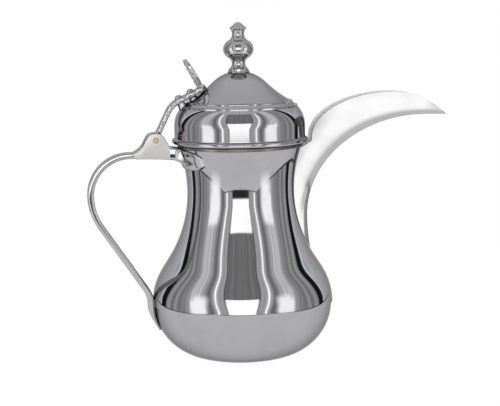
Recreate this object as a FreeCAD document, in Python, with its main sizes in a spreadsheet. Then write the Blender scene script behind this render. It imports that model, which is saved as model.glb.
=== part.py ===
import FreeCAD, Part
import math
import os
import Sketcher
from FreeCAD import Placement, Rotation, Vector

# Coffee pot with a crescent spout, a strap handle and a hinged lid.
# The origin is the middle of the base, +Z is up and +X points to the spout.

# Driving dimensions, in millimetres and degrees
SIZES = {
    # Spun body
    "wall": 1.0,
    "belly_radius": 72.0,
    "belly_height": 43.5,
    "belly_curve": 49.0,
    "waist_radius": 41.5,
    "waist_height": 134.0,
    "mouth_height": 169.5,
    "base_land": 8.5,
    "base_lap": 4.0,
    "base_thickness": 1.0,
    "rim_overhang": 1.8,
    "rim_height": 2.5,
    "rim_round": 1.0,
    # Strainer window behind the spout
    "window_drop": 22.0,
    "window_gap": 19.5,
    "window_radius": 5.0,
    "strainer_hole": 1.1,
    "strainer_pitch": 4.5,
    "strainer_columns": 4.6,
    # Spout
    "spout_throat": 12.5,
    "spout_depth_share": 0.8,
    "spout_turn_drop": 22.0,
    "spout_reach": 169.8,
    "spout_tip_rise": 19.9,
    "spout_beak": 19.8,
    "spout_keel_rise": 20.5,
    "spout_crest_back": 47.8,
    "spout_crest_rise": 40.0,
    "spout_keel_radius": 4.8,
    "spout_crest_radius": 2.8,
    "spout_tip_radius": 1.5,
    "spout_flare": 8.6,
    "spout_lid_gap": 2.4,
    "spout_rim_dip": 2.4,
    "spout_rim_lift": 2.7,
    # Lid
    "lid_gap": 0.3,
    "skirt_gap": 2.22,
    "skirt_height": 13.6,
    "shoulder_radius": 22.0,
    "lid_sweep": 100.0,
    "crown_radius": 30.0,
    "crown_height": 56.4,
    "flange_flat": 0.4,
    "flange_bead": 2.2,
    "ring_inset": 6.4,
    "ring_pitch": 4.0,
    "ring_bead": 1.4,
    "collar_depth": 6.5,
    "collar_gap": 0.8,
    # Hinge
    "hinge_setback": 13.4,
    "hinge_rise": 4.2,
    "pin_radius": 2.3,
    "pin_proud": 0.8,
    "pin_round": 0.7,
    "pin_clearance": 0.08,
    "bracket_width": 16.0,
    "bracket_front": 11.0,
    "bracket_back": 12.0,
    "bracket_shoulder": 5.5,
    "bracket_drop": 16.0,
    "cheek_radius": 5.0,
    "slot_gap": 0.4,
    "saddle_drop": 1.5,
    "saddle_height": 16.0,
    "saddle_reach": 33.0,
    "saddle_thickness": 2.5,
    "saddle_flare": 13.0,
    "saddle_inset": 2.0,
    # Handle
    "handle_drop": 12.0,
    "handle_width": 11.0,
    "handle_thickness": 5.0,
    "handle_round": 1.8,
    "handle_run": 8.8,
    "handle_bend": 31.0,
    "handle_sweep": 45.0,
    "foot_bend": 26.0,
    "foot_sweep": 26.0,
    "foot_sink": 0.4,
    # Strap, rivets and thumb lever on the lid
    "barrel_radius": 4.5,
    "barrel_width": 9.0,
    "strap_thickness": 4.0,
    "strap_width": 12.0,
    "strap_rise": 63.4,
    "strap_clear": 4.64,
    "strap_bend": 18.0,
    "strap_reach": 25.8,
    "strap_sink": 0.4,
    "boss_radius": 3.6,
    "rivet_radius": 1.5,
    "rivet_head": 3.2,
    "rivet_head_height": 2.4,
    "rivet_tail": 2.6,
    "rivet_tail_height": 1.0,
    "rivet_inset": 13.0,
    "rivet_pitch": 10.4,
    "lever_inset": 4.0,
    "lever_thickness": 3.0,
    "lever_foot": 9.0,
    "lever_width": 15.0,
    "lever_height": 25.0,
    "lever_waist": 12.0,
    # Finial and its fixing
    "finial_base": 8.8,
    "finial_flange": 1.6,
    "finial_step": 0.7,
    "stem_radius": 5.3,
    "stem_height": 7.4,
    "bulb_radius": 12.0,
    "bulb_height": 18.5,
    "bulb_curve": 7.5,
    "neck_radius": 4.8,
    "neck_height": 30.5,
    "cap_rise": 4.2,
    "tip_radius": 2.2,
    "finial_height": 39.8,
    "tip_rise": 1.0,
    "stud_radius": 2.0,
    "stud_depth": 9.0,
    "stud_clearance": 0.2,
    "stud_tail": 1.5,
    "washer_radius": 6.0,
    "washer_thickness": 1.0,
    "nut_radius": 4.0,
    "nut_height": 3.2,
}

# Lengths and places that follow from the driving dimensions
DERIVED = {
    # The belly arc and the waist arc touch where their centres are in line
    "flat_radius": "=sizes.belly_radius - sizes.belly_height",
    "base_hole": "=flat_radius - sizes.base_land",
    "belly_x": "=sizes.belly_radius - sizes.belly_curve",
    "waist_rise": "=sizes.waist_height - sizes.belly_height",
    "waist_step": "=sizes.belly_radius - sizes.waist_radius",
    "curve_span": "=(waist_step^2 + waist_rise^2) / (2 * waist_step)",
    "waist_curve": "=curve_span - sizes.belly_curve",
    "waist_x": "=sizes.waist_radius + waist_curve",
    "touch_x": "=(waist_x - belly_x) / curve_span",
    "touch_z": "=waist_rise / curve_span",
    "mouth_rise": "=sizes.mouth_height - sizes.waist_height",
    "mouth_outer": "=waist_x - sqrt(waist_curve^2 - mouth_rise^2)",
    "mouth_inner": "=waist_x - sqrt((waist_curve + sizes.wall)^2 - mouth_rise^2)",
    # Lid arcs: the sweep touches the crown and the shoulder from outside
    "lid_bottom": "=sizes.mouth_height + sizes.rim_height + sizes.lid_gap",
    "skirt_top": "=lid_bottom + sizes.skirt_height",
    "skirt_radius": "=mouth_outer + sizes.rim_overhang + sizes.skirt_gap",
    "skirt_inner": "=skirt_radius - sizes.wall",
    "flange_radius": "=skirt_radius + sizes.flange_flat + sizes.flange_bead",
    "shoulder_x": "=skirt_radius - sizes.shoulder_radius",
    "crown_z": "=lid_bottom + sizes.crown_height - sizes.crown_radius",
    "lid_fall": "=skirt_top - crown_z",
    "lid_span": "=sqrt(shoulder_x^2 + lid_fall^2)",
    "crown_span": "=sizes.crown_radius + sizes.lid_sweep",
    "shoulder_span": "=sizes.shoulder_radius + sizes.lid_sweep",
    "lid_along": "=(crown_span^2 - shoulder_span^2 + lid_span^2) / (2 * lid_span)",
    "lid_aside": "=sqrt(crown_span^2 - lid_along^2)",
    "sweep_x": "=(shoulder_x * lid_along - lid_fall * lid_aside) / lid_span",
    "sweep_z": "=crown_z + (lid_fall * lid_along + shoulder_x * lid_aside) / lid_span",
    "crown_touch_x": "=sweep_x / crown_span",
    "crown_touch_z": "=(sweep_z - crown_z) / crown_span",
    "shoulder_touch_x": "=(sweep_x - shoulder_x) / shoulder_span",
    "shoulder_touch_z": "=(sweep_z - skirt_top) / shoulder_span",
    "seat_z": "=crown_z + sqrt(sizes.crown_radius^2 - sizes.finial_base^2)",
    "stud_hole": "=sizes.stud_radius + sizes.stud_clearance",
    "collar_z": "=lid_bottom - sizes.collar_depth",
    "collar_wall": "=waist_x - sqrt((waist_curve + sizes.wall)^2 - (collar_z - sizes.waist_height)^2)",
    "collar_radius": "=collar_wall - sizes.collar_gap",
    # Strainer window and spout: the spout's upright keel starts inside the flare of the body
    "window_low": "=sizes.waist_height - sizes.window_drop",
    "window_high": "=sizes.mouth_height - sizes.window_gap",
    "throat_x": "=sizes.waist_radius + sizes.spout_throat",
    "root_step": "=waist_curve - sizes.spout_throat - sizes.spout_keel_radius",
    "root_z": "=sizes.waist_height - sqrt(waist_curve^2 - root_step^2)",
    # Hinge pin and bracket, on the -X side
    "pin_x": "=-(flange_radius + sizes.hinge_setback)",
    "pin_z": "=lid_bottom + sizes.hinge_rise",
    "saddle_high": "=sizes.mouth_height - sizes.saddle_drop",
    "saddle_low": "=saddle_high - sizes.saddle_height",
    "bracket_x": "=pin_x + sizes.bracket_front",
    "bracket_low": "=pin_z - sizes.bracket_drop",
    "handle_x": "=pin_x - sizes.bracket_back",
    "handle_z": "=pin_z - sizes.handle_drop",
    "handle_top": "=handle_z + sizes.handle_thickness / 2",
    "handle_low": "=handle_z - sizes.handle_thickness / 2",
    "front_fall": "=-sizes.bracket_shoulder",
    "front_square": "=sizes.bracket_front^2 + front_fall^2",
    "front_near": "=sizes.cheek_radius^2 / front_square",
    "front_side": "=sizes.cheek_radius * sqrt(front_square - sizes.cheek_radius^2) / front_square",
    "back_fall": "=handle_top - pin_z",
    "back_square": "=sizes.bracket_back^2 + back_fall^2",
    "back_near": "=sizes.cheek_radius^2 / back_square",
    "back_side": "=sizes.cheek_radius * sqrt(back_square - sizes.cheek_radius^2) / back_square",
    "front_touch_x": "=pin_x + sizes.bracket_front * front_near - front_fall * front_side",
    "front_touch_z": "=pin_z + front_fall * front_near + sizes.bracket_front * front_side",
    "back_touch_x": "=pin_x - sizes.bracket_back * back_near + back_fall * back_side",
    "back_touch_z": "=pin_z + back_fall * back_near + sizes.bracket_back * back_side",
    "slot_floor": "=pin_z - sizes.barrel_radius - sizes.slot_gap",
    # Handle: the straight run touches the loop arc on one side and the heel arc on the other
    "bend_x": "=handle_x - sizes.handle_run",
    "bend_z": "=handle_z - sizes.handle_bend",
    "handle_reach": "=sizes.handle_bend - bend_x",
    "loop_x": "=sizes.handle_sweep - handle_reach",
    "foot_radius": "=sizes.belly_height + sizes.handle_thickness / 2 - sizes.foot_sink",
    "foot_x": "=-(flat_radius + foot_radius)",
    "heel_x": "=foot_x - sizes.foot_bend",
    "run_x": "=heel_x - loop_x",
    "run_z": "=sizes.belly_height - bend_z",
    "run_span": "=sqrt(run_x^2 + run_z^2)",
    "run_near": "=(sizes.handle_sweep + sizes.foot_bend) / run_span",
    "run_side": "=sqrt(1 - run_near^2)",
    "lean_x": "=(run_x * run_near + run_z * run_side) / run_span",
    "lean_z": "=(run_z * run_near - run_x * run_side) / run_span",
    # Strap: two straight runs that meet in a bend, the upper one ending on the lid
    "ring_radius": "=skirt_radius - sizes.ring_inset",
    "lid_at_ring": "=skirt_top + sqrt(sizes.shoulder_radius^2 - (ring_radius - shoulder_x)^2)",
    "lid_at_end": "=sweep_z - sqrt(sizes.lid_sweep^2 - (sweep_x - sizes.strap_reach)^2)",
    "strap_fall": "=lid_at_end - lid_at_ring - sizes.strap_clear",
    "strap_tilt": "=atan(strap_fall / (ring_radius - sizes.strap_reach))",
    "rise_cos": "=cos(sizes.strap_rise)",
    "rise_sin": "=sin(sizes.strap_rise)",
    "tilt_cos": "=cos(strap_tilt)",
    "tilt_sin": "=sin(strap_tilt)",
    "strap_half": "=sizes.strap_thickness / 2",
    "end_x": "=-sizes.strap_reach - strap_half * tilt_sin",
    "end_z": "=lid_at_end - sizes.strap_sink + strap_half * tilt_cos",
    "strap_turn": "=rise_sin * tilt_cos - rise_cos * tilt_sin",
    "knee_run": "=((end_z - pin_z) * tilt_cos - (end_x - pin_x) * tilt_sin) / strap_turn",
    "knee_x": "=pin_x + knee_run * rise_cos",
    "knee_z": "=pin_z + knee_run * rise_sin",
    "knee_turn": "=sizes.strap_rise * 1deg - strap_tilt",
    "knee_cut": "=sizes.strap_bend * tan(knee_turn / 2)",
    "knee_low_x": "=knee_x - knee_cut * rise_cos",
    "knee_low_z": "=knee_z - knee_cut * rise_sin",
    "knee_high_x": "=knee_x + knee_cut * tilt_cos",
    "knee_high_z": "=knee_z + knee_cut * tilt_sin",
    "face_x": "=end_x - strap_half * tilt_sin",
    "face_z": "=end_z + strap_half * tilt_cos",
    # Finial arcs: stem and neck hollows touch the bulb from outside
    "bulb_x": "=sizes.bulb_radius - sizes.bulb_curve",
    "bulb_z": "=seat_z + sizes.bulb_height",
    "stem_fall": "=sizes.stem_height - sizes.bulb_height",
    "stem_step": "=sizes.stem_radius - bulb_x",
    "stem_curve": "=(stem_step^2 + stem_fall^2 - sizes.bulb_curve^2) / (2 * (sizes.bulb_curve - stem_step))",
    "stem_x": "=sizes.stem_radius + stem_curve",
    "stem_z": "=seat_z + sizes.stem_height",
    "flange_z": "=seat_z + sizes.finial_flange",
    "flange_step": "=sizes.finial_base - sizes.finial_step",
    "stem_foot": "=stem_z - sqrt(stem_curve^2 - (stem_x - flange_step)^2)",
    "neck_fall": "=sizes.neck_height - sizes.bulb_height",
    "neck_step": "=sizes.neck_radius - bulb_x",
    "neck_curve": "=(neck_step^2 + neck_fall^2 - sizes.bulb_curve^2) / (2 * (sizes.bulb_curve - neck_step))",
    "neck_x": "=sizes.neck_radius + neck_curve",
    "neck_z": "=seat_z + sizes.neck_height",
    "cap_z": "=neck_z + sizes.cap_rise",
    "cap_x": "=neck_x - sqrt(neck_curve^2 - sizes.cap_rise^2)",
    "tip_z": "=seat_z + sizes.finial_height",
    "tip_curve": "=(sizes.tip_radius^2 + sizes.tip_rise^2) / (2 * sizes.tip_rise)",
}

doc = FreeCAD.newDocument("coffee_pot")


def fill_sheet(name, cells):
    """Make a sheet with one named cell to a row."""
    sheet = doc.addObject("Spreadsheet::Sheet", name)
    for row, (alias, content) in enumerate(cells.items(), start=1):
        sheet.set(f"A{row}", alias)
        sheet.set(f"B{row}", str(content))
        sheet.setAlias(f"B{row}", alias)
    return sheet


sizes = fill_sheet("sizes", SIZES)
derived = fill_sheet("derived", DERIVED)
doc.recompute()


def number(expression):
    """Work out an expression of sheet cells."""
    return float(FreeCAD.Units.Quantity(sizes.evalExpression(expression)).Value)


def constrain(sketch, rules):
    """Add constraints, each with the expression that its value stays bound to, or None."""
    indexes = sketch.addConstraint([Sketcher.Constraint(*rule) for rule, _ in rules])
    for index, (_, expression) in zip(indexes, rules):
        if expression:
            sketch.setExpression(f"Constraints[{index}]", expression)


def bound(kind, *where):
    """Constraint rule whose last argument is an expression."""
    return (kind, *where[:-1], number(where[-1])), where[-1]


def new_sketch(body, name, plane):
    """Attach an empty sketch to one of the body's own origin planes."""
    sketch = body.newObject("Sketcher::SketchObject", name)
    support = next(item for item in body.Origin.OriginFeatures if item.Role == plane)
    sketch.AttachmentSupport = (support, [""])
    sketch.MapMode = "FlatFace"
    return sketch


def arc_between(start, finish, radius, turn):
    """Arc from start to finish, the short way round, to the left for turn 1 and right for -1."""
    chord = finish - start
    depth = math.sqrt(max(radius**2 - chord.Length**2 / 4, 0))
    left = Vector(-chord.y, chord.x, 0).normalize()
    centre = (start + finish) * 0.5 + left * (depth * turn)
    first, last = (start, finish) if turn > 0 else (finish, start)
    angles = [math.atan2(end.y - centre.y, end.x - centre.x) for end in (first, last)]
    return Part.ArcOfCircle(Part.Circle(centre, Vector(0, 0, 1), radius), *angles)


def draw_outline(sketch, corners, closed=True):
    """Draw sides from corner to corner, with every corner bound to its expressions.

    A corner is (across, up), or (across, up, radius, turn) where an arc leaves it.
    """
    spots = [Vector(number(corner[0]), number(corner[1]), 0) for corner in corners]
    sides = []
    rules = []
    for index in range(len(corners) if closed else len(corners) - 1):
        corner = corners[index]
        start = spots[index]
        finish = spots[(index + 1) % len(spots)]
        if len(corner) == 2:
            side = sketch.addGeometry(Part.LineSegment(start, finish))
            sides.append((side, 1, 2))
        else:
            radius, turn = corner[2:]
            side = sketch.addGeometry(arc_between(start, finish, number(radius), turn))
            rules.append(bound("Radius", side, radius))
            sides.append((side, 1, 2) if turn > 0 else (side, 2, 1))
    for index, (side, start, finish) in enumerate(sides):
        before, _, before_finish = sides[index - 1]
        if closed or index > 0:
            rules.append((("Coincident", before, before_finish, side, start), None))
        rules += point_rules(side, start, corners[index])
    if not closed:
        rules += point_rules(sides[-1][0], sides[-1][2], corners[-1])
    constrain(sketch, rules)


def point_rules(side, end, corner):
    """Rules that bind one end of a side to its two expressions."""
    rules = []
    for kind, axis, expression in (("DistanceX", -2, corner[0]), ("DistanceY", -1, corner[1])):
        if expression == "0":
            rules.append((("PointOnObject", side, end, axis), None))
        else:
            rules.append(bound(kind, -1, 1, side, end, expression))
    return rules


def turned(label, corners):
    """Body turned about the Z axis from a closed outline of radius and height."""
    body = doc.addObject("PartDesign::Body", label)
    sketch = new_sketch(body, label + "_outline", "XZ_Plane")
    draw_outline(sketch, corners)
    turn = body.newObject("PartDesign::Revolution", label + "_turn")
    turn.Profile = sketch
    turn.ReferenceAxis = (sketch, ["V_Axis"])
    turn.Angle = 360
    return body


def add_pad(body, name, plane, corners, width):
    """Add an outline's pad, of the given width, evenly on both sides of the plane."""
    sketch = new_sketch(body, name + "_outline", plane)
    draw_outline(sketch, corners)
    pad = body.newObject("PartDesign::Pad", name)
    pad.Profile = sketch
    pad.SideType = "Symmetric"
    pad.setExpression("Length", width)


def add_round(body, kind, name, across, up, radius, width):
    """Add a round pad or pocket along Y, evenly on both sides of the XZ plane."""
    sketch = new_sketch(body, name + "_outline", "XZ_Plane")
    centre = Vector(number(across), number(up), 0)
    side = sketch.addGeometry(Part.Circle(centre, Vector(0, 0, 1), number(radius)))
    constrain(sketch, [bound("Radius", side, radius)] + point_rules(side, 3, (across, up)))
    feature = body.newObject("PartDesign::" + kind, name)
    feature.Profile = sketch
    feature.SideType = "Symmetric"
    feature.setExpression("Length", width)


def solid(kind, name, **expressions):
    """Part primitive whose properties are bound to expressions."""
    item = doc.addObject("Part::" + kind, name)
    for size, expression in expressions.items():
        item.setExpression(size, expression)
    return item


def place(item, across, up, tilt="0", aside="0"):
    """Put an object at a point beside the XZ plane, with its Z axis leaning back by tilt."""
    spot = Vector(number(across), number(aside), number(up))
    item.Placement = Placement(spot, Rotation(Vector(0, -1, 0), number(tilt)))
    for axis, expression in (("x", across), ("y", aside), ("z", up)):
        item.setExpression("Placement.Base." + axis, expression)


def cut(name, base, tool):
    """Base with the tool taken away."""
    item = doc.addObject("Part::Cut", name)
    item.Base = base
    item.Tool = tool
    return item


def common(name, base, tool):
    """What base and tool share."""
    item = doc.addObject("Part::Common", name)
    item.Base = base
    item.Tool = tool
    return item


def joined(name, items):
    """Several objects fused into one."""
    item = doc.addObject("Part::MultiFuse", name)
    item.Shapes = items
    return item


def grouped(name, items):
    """Several objects side by side, still separate solids."""
    item = doc.addObject("Part::Compound", name)
    item.Links = items
    return item


# Corners that several outlines share

BELLY = ("sizes.belly_radius", "sizes.belly_height", "sizes.belly_curve", 1)
WAIST_START = (
    "derived.belly_x + sizes.belly_curve * derived.touch_x",
    "sizes.belly_height + sizes.belly_curve * derived.touch_z",
    "derived.waist_curve",
    -1,
)
MOUTH = ("derived.mouth_outer", "sizes.mouth_height")


def lid_arcs(inset):
    """Corners of the lid from the skirt up to the seat of the finial, inset square to its surface."""
    shoulder = f"(sizes.shoulder_radius - {inset})"
    crown = f"(sizes.crown_radius - {inset})"
    seat = f"(derived.seat_z - {inset})"
    return [
        (f"derived.skirt_radius - {inset}", "derived.skirt_top", shoulder, 1),
        (
            f"derived.shoulder_x + {shoulder} * derived.shoulder_touch_x",
            f"derived.skirt_top + {shoulder} * derived.shoulder_touch_z",
            f"sizes.lid_sweep + {inset}",
            -1,
        ),
        (
            f"{crown} * derived.crown_touch_x",
            f"derived.crown_z + {crown} * derived.crown_touch_z",
            crown,
            1,
        ),
        (f"sqrt({crown}^2 - ({seat} - derived.crown_z)^2)", seat),
    ]


def backwards(corners):
    """The same corners and arcs, drawn the other way."""
    sides = [(corner[2], -corner[3]) if len(corner) > 2 else () for corner in corners]
    ends = [corner[:2] for corner in corners]
    return [end + side for end, side in zip(reversed(ends), sides[-2::-1] + [()])]


# Spun body

body_envelope = turned(
    "body_envelope",
    [
        ("0", "0"),
        ("derived.flat_radius", "0", "sizes.belly_height", 1),
        BELLY,
        WAIST_START,
        MOUTH,
        ("0", "sizes.mouth_height"),
    ],
)

upper_wall = turned(
    "upper_wall",
    [
        ("sizes.belly_radius - sizes.wall", "sizes.belly_height"),
        BELLY,
        WAIST_START,
        MOUTH,
        ("derived.mouth_inner", "sizes.mouth_height", "derived.waist_curve + sizes.wall", 1),
        (
            "derived.belly_x + (sizes.belly_curve - sizes.wall) * derived.touch_x",
            "sizes.belly_height + (sizes.belly_curve - sizes.wall) * derived.touch_z",
            "sizes.belly_curve - sizes.wall",
            -1,
        ),
    ],
)

lower_bowl = turned(
    "lower_bowl",
    [
        ("derived.base_hole", "0"),
        ("derived.flat_radius", "0", "sizes.belly_height", 1),
        ("sizes.belly_radius", "sizes.belly_height"),
        ("sizes.belly_radius - sizes.wall", "sizes.belly_height", "sizes.belly_height - sizes.wall", -1),
        ("derived.flat_radius", "sizes.wall"),
        ("derived.base_hole", "sizes.wall"),
    ],
)

base_disc = turned(
    "base_disc",
    [
        ("0", "0"),
        ("derived.base_hole", "0"),
        ("derived.base_hole", "sizes.wall"),
        ("derived.base_hole + sizes.base_lap", "sizes.wall"),
        ("derived.base_hole + sizes.base_lap", "sizes.wall + sizes.base_thickness"),
        ("0", "sizes.wall + sizes.base_thickness"),
    ],
)

RIM_EDGE = "derived.mouth_outer + sizes.rim_overhang"
RIM_TOP = "sizes.mouth_height + sizes.rim_height"
mouth_ring = turned(
    "mouth_ring",
    [
        ("derived.mouth_inner", "sizes.mouth_height"),
        (RIM_EDGE, "sizes.mouth_height"),
        (RIM_EDGE, RIM_TOP + " - sizes.rim_round", "sizes.rim_round", 1),
        (RIM_EDGE + " - sizes.rim_round", RIM_TOP),
        ("derived.mouth_inner + sizes.rim_round", RIM_TOP, "sizes.rim_round", 1),
        ("derived.mouth_inner", RIM_TOP + " - sizes.rim_round"),
    ],
)

# Strainer: a rounded window in the wall behind the spout, filled by a perforated plate

window_slot = solid(
    "Box",
    "window_slot",
    Length="sizes.belly_radius",
    Width="2 * sizes.window_radius",
    Height="derived.window_high - derived.window_low",
)
place(window_slot, "0", "derived.window_low", aside="-sizes.window_radius")


def drill(name, radius, aside, up):
    """Round bar along +X from the axis of the pot."""
    bar = solid("Cylinder", name, Radius=radius, Height="sizes.belly_radius")
    place(bar, "0", up, aside=aside)
    bar.Placement.Rotation = Rotation(Vector(0, 1, 0), 90)
    return bar


window_ends = [
    drill("window_foot", "sizes.window_radius", "0", "derived.window_low"),
    drill("window_head", "sizes.window_radius", "0", "derived.window_high"),
]
window = joined("window", [window_slot] + window_ends)
upper_body = cut("upper_body", upper_wall, window)

strainer_holes = []
strainer_rows = int(number("(derived.window_high - derived.window_low) / sizes.strainer_pitch")) + 1
for row in range(strainer_rows):
    for side in (-1, 1):
        strainer_holes.append(
            drill(
                f"strainer_hole_{len(strainer_holes)}",
                "sizes.strainer_hole",
                f"{side} * sizes.strainer_columns / 2",
                f"derived.window_low + {row} * sizes.strainer_pitch",
            )
        )
strainer_plate = common("strainer_plate", upper_wall, window)
spout_strainer = cut("spout_strainer", strainer_plate, grouped("strainer_drills", strainer_holes))

# Hinge saddle: a leaf that lies on the neck and flares out to the bracket


def waist_radius_at(height, offset):
    """Radius of the neck at a height, plus an offset square to its surface."""
    return (
        f"derived.waist_x - sqrt((derived.waist_curve - {offset})^2"
        f" - ({height} - sizes.waist_height)^2)"
    )


saddle_band = turned(
    "saddle_band",
    [
        (waist_radius_at("derived.saddle_low", "0"), "derived.saddle_low"),
        (
            waist_radius_at("derived.saddle_low", "sizes.saddle_thickness"),
            "derived.saddle_low",
            "derived.waist_curve - sizes.saddle_thickness",
            -1,
        ),
        (waist_radius_at("derived.saddle_high", "sizes.saddle_thickness"), "derived.saddle_high"),
        (waist_radius_at("derived.saddle_high", "0"), "derived.saddle_high", "derived.waist_curve", 1),
    ],
)
leaf_outline = solid(
    "Ellipse",
    "leaf_outline",
    MajorRadius="sizes.saddle_reach",
    MinorRadius="(derived.saddle_high - derived.saddle_low) / 2",
)
place(leaf_outline, "0", "(derived.saddle_high + derived.saddle_low) / 2")
leaf_outline.Placement.Rotation = Rotation(Vector(0, 1, 0), Vector(0, 0, 1), Vector(1, 0, 0), "XYZ")
leaf_bar = doc.addObject("Part::Extrusion", "leaf_bar")
leaf_bar.Base = leaf_outline
leaf_bar.DirMode = "Custom"
leaf_bar.Dir = Vector(-1, 0, 0)
leaf_bar.Solid = True
leaf_bar.setExpression("LengthFwd", "sizes.belly_radius")
saddle_leaf = common("saddle_leaf", saddle_band, leaf_bar)

saddle_neck = doc.addObject("PartDesign::Body", "saddle_neck")
neck_root = new_sketch(saddle_neck, "neck_root", "YZ_Plane")
neck_end = new_sketch(saddle_neck, "neck_end", "YZ_Plane")
for sketch, across, half, low, high in (
    (
        neck_root,
        "-sizes.waist_radius",
        "sizes.saddle_flare",
        "derived.saddle_low + sizes.saddle_inset",
        "derived.saddle_high - sizes.saddle_inset",
    ),
    (
        neck_end,
        "derived.bracket_x",
        "sizes.bracket_width / 2",
        "derived.bracket_low",
        "derived.pin_z - sizes.bracket_shoulder",
    ),
):
    sketch.AttachmentOffset = Placement(Vector(0, 0, number(across)), Rotation())
    sketch.setExpression("AttachmentOffset.Base.z", across)
    draw_outline(sketch, [("-" + half, low), (half, low), (half, high), ("-" + half, high)])
neck_loft = saddle_neck.newObject("PartDesign::AdditiveLoft", "neck_loft")
neck_loft.Profile = neck_root
neck_loft.Sections = [neck_end]
hinge_saddle = cut("hinge_saddle", joined("saddle_whole", [saddle_leaf, saddle_neck]), body_envelope)

# Hinge bracket: a block with a slot for the strap barrel between two cheeks

hinge_bracket = doc.addObject("PartDesign::Body", "hinge_bracket")
add_pad(
    hinge_bracket,
    "bracket_block",
    "XZ_Plane",
    [
        ("derived.handle_x", "derived.handle_low"),
        ("derived.bracket_x", "derived.bracket_low"),
        ("derived.bracket_x", "derived.pin_z - sizes.bracket_shoulder"),
        ("derived.front_touch_x", "derived.front_touch_z", "sizes.cheek_radius", 1),
        ("derived.back_touch_x", "derived.back_touch_z"),
        ("derived.handle_x", "derived.handle_top"),
    ],
    "sizes.bracket_width",
)
slot_outline = new_sketch(hinge_bracket, "slot_outline", "XZ_Plane")
draw_outline(
    slot_outline,
    [
        ("derived.handle_x", "derived.slot_floor"),
        ("derived.bracket_x", "derived.slot_floor"),
        ("derived.bracket_x", "derived.pin_z + 2 * sizes.cheek_radius"),
        ("derived.handle_x", "derived.pin_z + 2 * sizes.cheek_radius"),
    ],
)
slot = hinge_bracket.newObject("PartDesign::Pocket", "slot")
slot.Profile = slot_outline
slot.SideType = "Symmetric"
slot.setExpression("Length", "sizes.barrel_width + 2 * sizes.slot_gap")
PIN = ("derived.pin_x", "derived.pin_z")
add_round(hinge_bracket, "Pocket", "pin_bore", *PIN, "sizes.pin_radius", "2 * sizes.bracket_width")

hinge_pin = doc.addObject("PartDesign::Body", "hinge_pin")
add_round(
    hinge_pin, "Pad", "pin_rod", *PIN, "sizes.pin_radius", "sizes.bracket_width + 2 * sizes.pin_proud"
)
doc.recompute()
pin_rod = hinge_pin.Tip
pin_ends = hinge_pin.newObject("PartDesign::Fillet", "pin_ends")
pin_ends.Base = (pin_rod, ["Face2", "Face3"])
pin_ends.setExpression("Radius", "sizes.pin_round")

# Handle: a rounded strap swept from the bracket round the loop and down onto the belly

handle_sweep = doc.addObject("PartDesign::Body", "handle_sweep")
handle_path = new_sketch(handle_sweep, "handle_path", "XZ_Plane")
draw_outline(
    handle_path,
    [
        ("derived.handle_x", "derived.handle_z"),
        ("derived.bend_x", "derived.handle_z", "sizes.handle_bend", 1),
        ("-derived.handle_reach", "derived.bend_z", "sizes.handle_sweep", 1),
        (
            "derived.loop_x + sizes.handle_sweep * derived.lean_x",
            "derived.bend_z + sizes.handle_sweep * derived.lean_z",
        ),
        (
            "derived.heel_x - sizes.foot_bend * derived.lean_x",
            "sizes.belly_height - sizes.foot_bend * derived.lean_z",
            "sizes.foot_bend",
            -1,
        ),
        ("derived.foot_x", "sizes.belly_height", "derived.foot_radius", 1),
        (
            "-derived.flat_radius - derived.foot_radius * cos(sizes.foot_sweep)",
            "sizes.belly_height - derived.foot_radius * sin(sizes.foot_sweep)",
        ),
    ],
    closed=False,
)
handle_section = new_sketch(handle_sweep, "handle_section", "YZ_Plane")
handle_section.AttachmentOffset = Placement(Vector(0, 0, number("derived.handle_x")), Rotation())
handle_section.setExpression("AttachmentOffset.Base.z", "derived.handle_x")
SIDE = "sizes.handle_width / 2"
FLAT = f"({SIDE} - sizes.handle_round)"
ROUND = ("sizes.handle_round", 1)
draw_outline(
    handle_section,
    [
        (f"-{FLAT}", "derived.handle_low"),
        (FLAT, "derived.handle_low", *ROUND),
        (SIDE, "derived.handle_low + sizes.handle_round"),
        (SIDE, "derived.handle_top - sizes.handle_round", *ROUND),
        (FLAT, "derived.handle_top"),
        (f"-{FLAT}", "derived.handle_top", *ROUND),
        (f"-{SIDE}", "derived.handle_top - sizes.handle_round"),
        (f"-{SIDE}", "derived.handle_low + sizes.handle_round", *ROUND),
    ],
)
doc.recompute()
handle_pipe = handle_sweep.newObject("PartDesign::AdditivePipe", "handle_pipe")
handle_pipe.Profile = handle_section
handle_pipe.Spine = (handle_path, [f"Edge{count}" for count in range(1, handle_path.GeometryCount + 1)])
handle_loop = cut("handle_loop", handle_sweep, body_envelope)

# Lid

FLANGE_FLAT = "derived.skirt_radius + sizes.flange_flat"
lid_shell = turned(
    "lid_shell",
    [
        ("derived.skirt_inner", "derived.lid_bottom"),
        (FLANGE_FLAT, "derived.lid_bottom", "sizes.flange_bead", 1),
        ("derived.flange_radius", "derived.lid_bottom + sizes.flange_bead", "sizes.flange_bead", 1),
        (FLANGE_FLAT, "derived.lid_bottom + 2 * sizes.flange_bead"),
        ("derived.skirt_radius", "derived.lid_bottom + 2 * sizes.flange_bead"),
        *lid_arcs("0"),
        ("derived.stud_hole", "derived.seat_z"),
        ("derived.stud_hole", "derived.seat_z - sizes.wall"),
        *backwards(lid_arcs("sizes.wall")),
    ],
)


def lid_filled(name, inset):
    """Solid that fills the lid up to a surface inside its outer one."""
    return turned(
        name,
        [
            ("0", "derived.lid_bottom"),
            (f"derived.skirt_radius - {inset}", "derived.lid_bottom"),
            *lid_arcs(inset),
            ("0", f"derived.seat_z - {inset}"),
        ],
    )


lid_fill = lid_filled("lid_fill", "0")
lid_hollow = lid_filled("lid_hollow", "sizes.wall")
lid_core = lid_filled("lid_core", "(sizes.wall + sizes.rivet_tail_height)")


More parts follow.
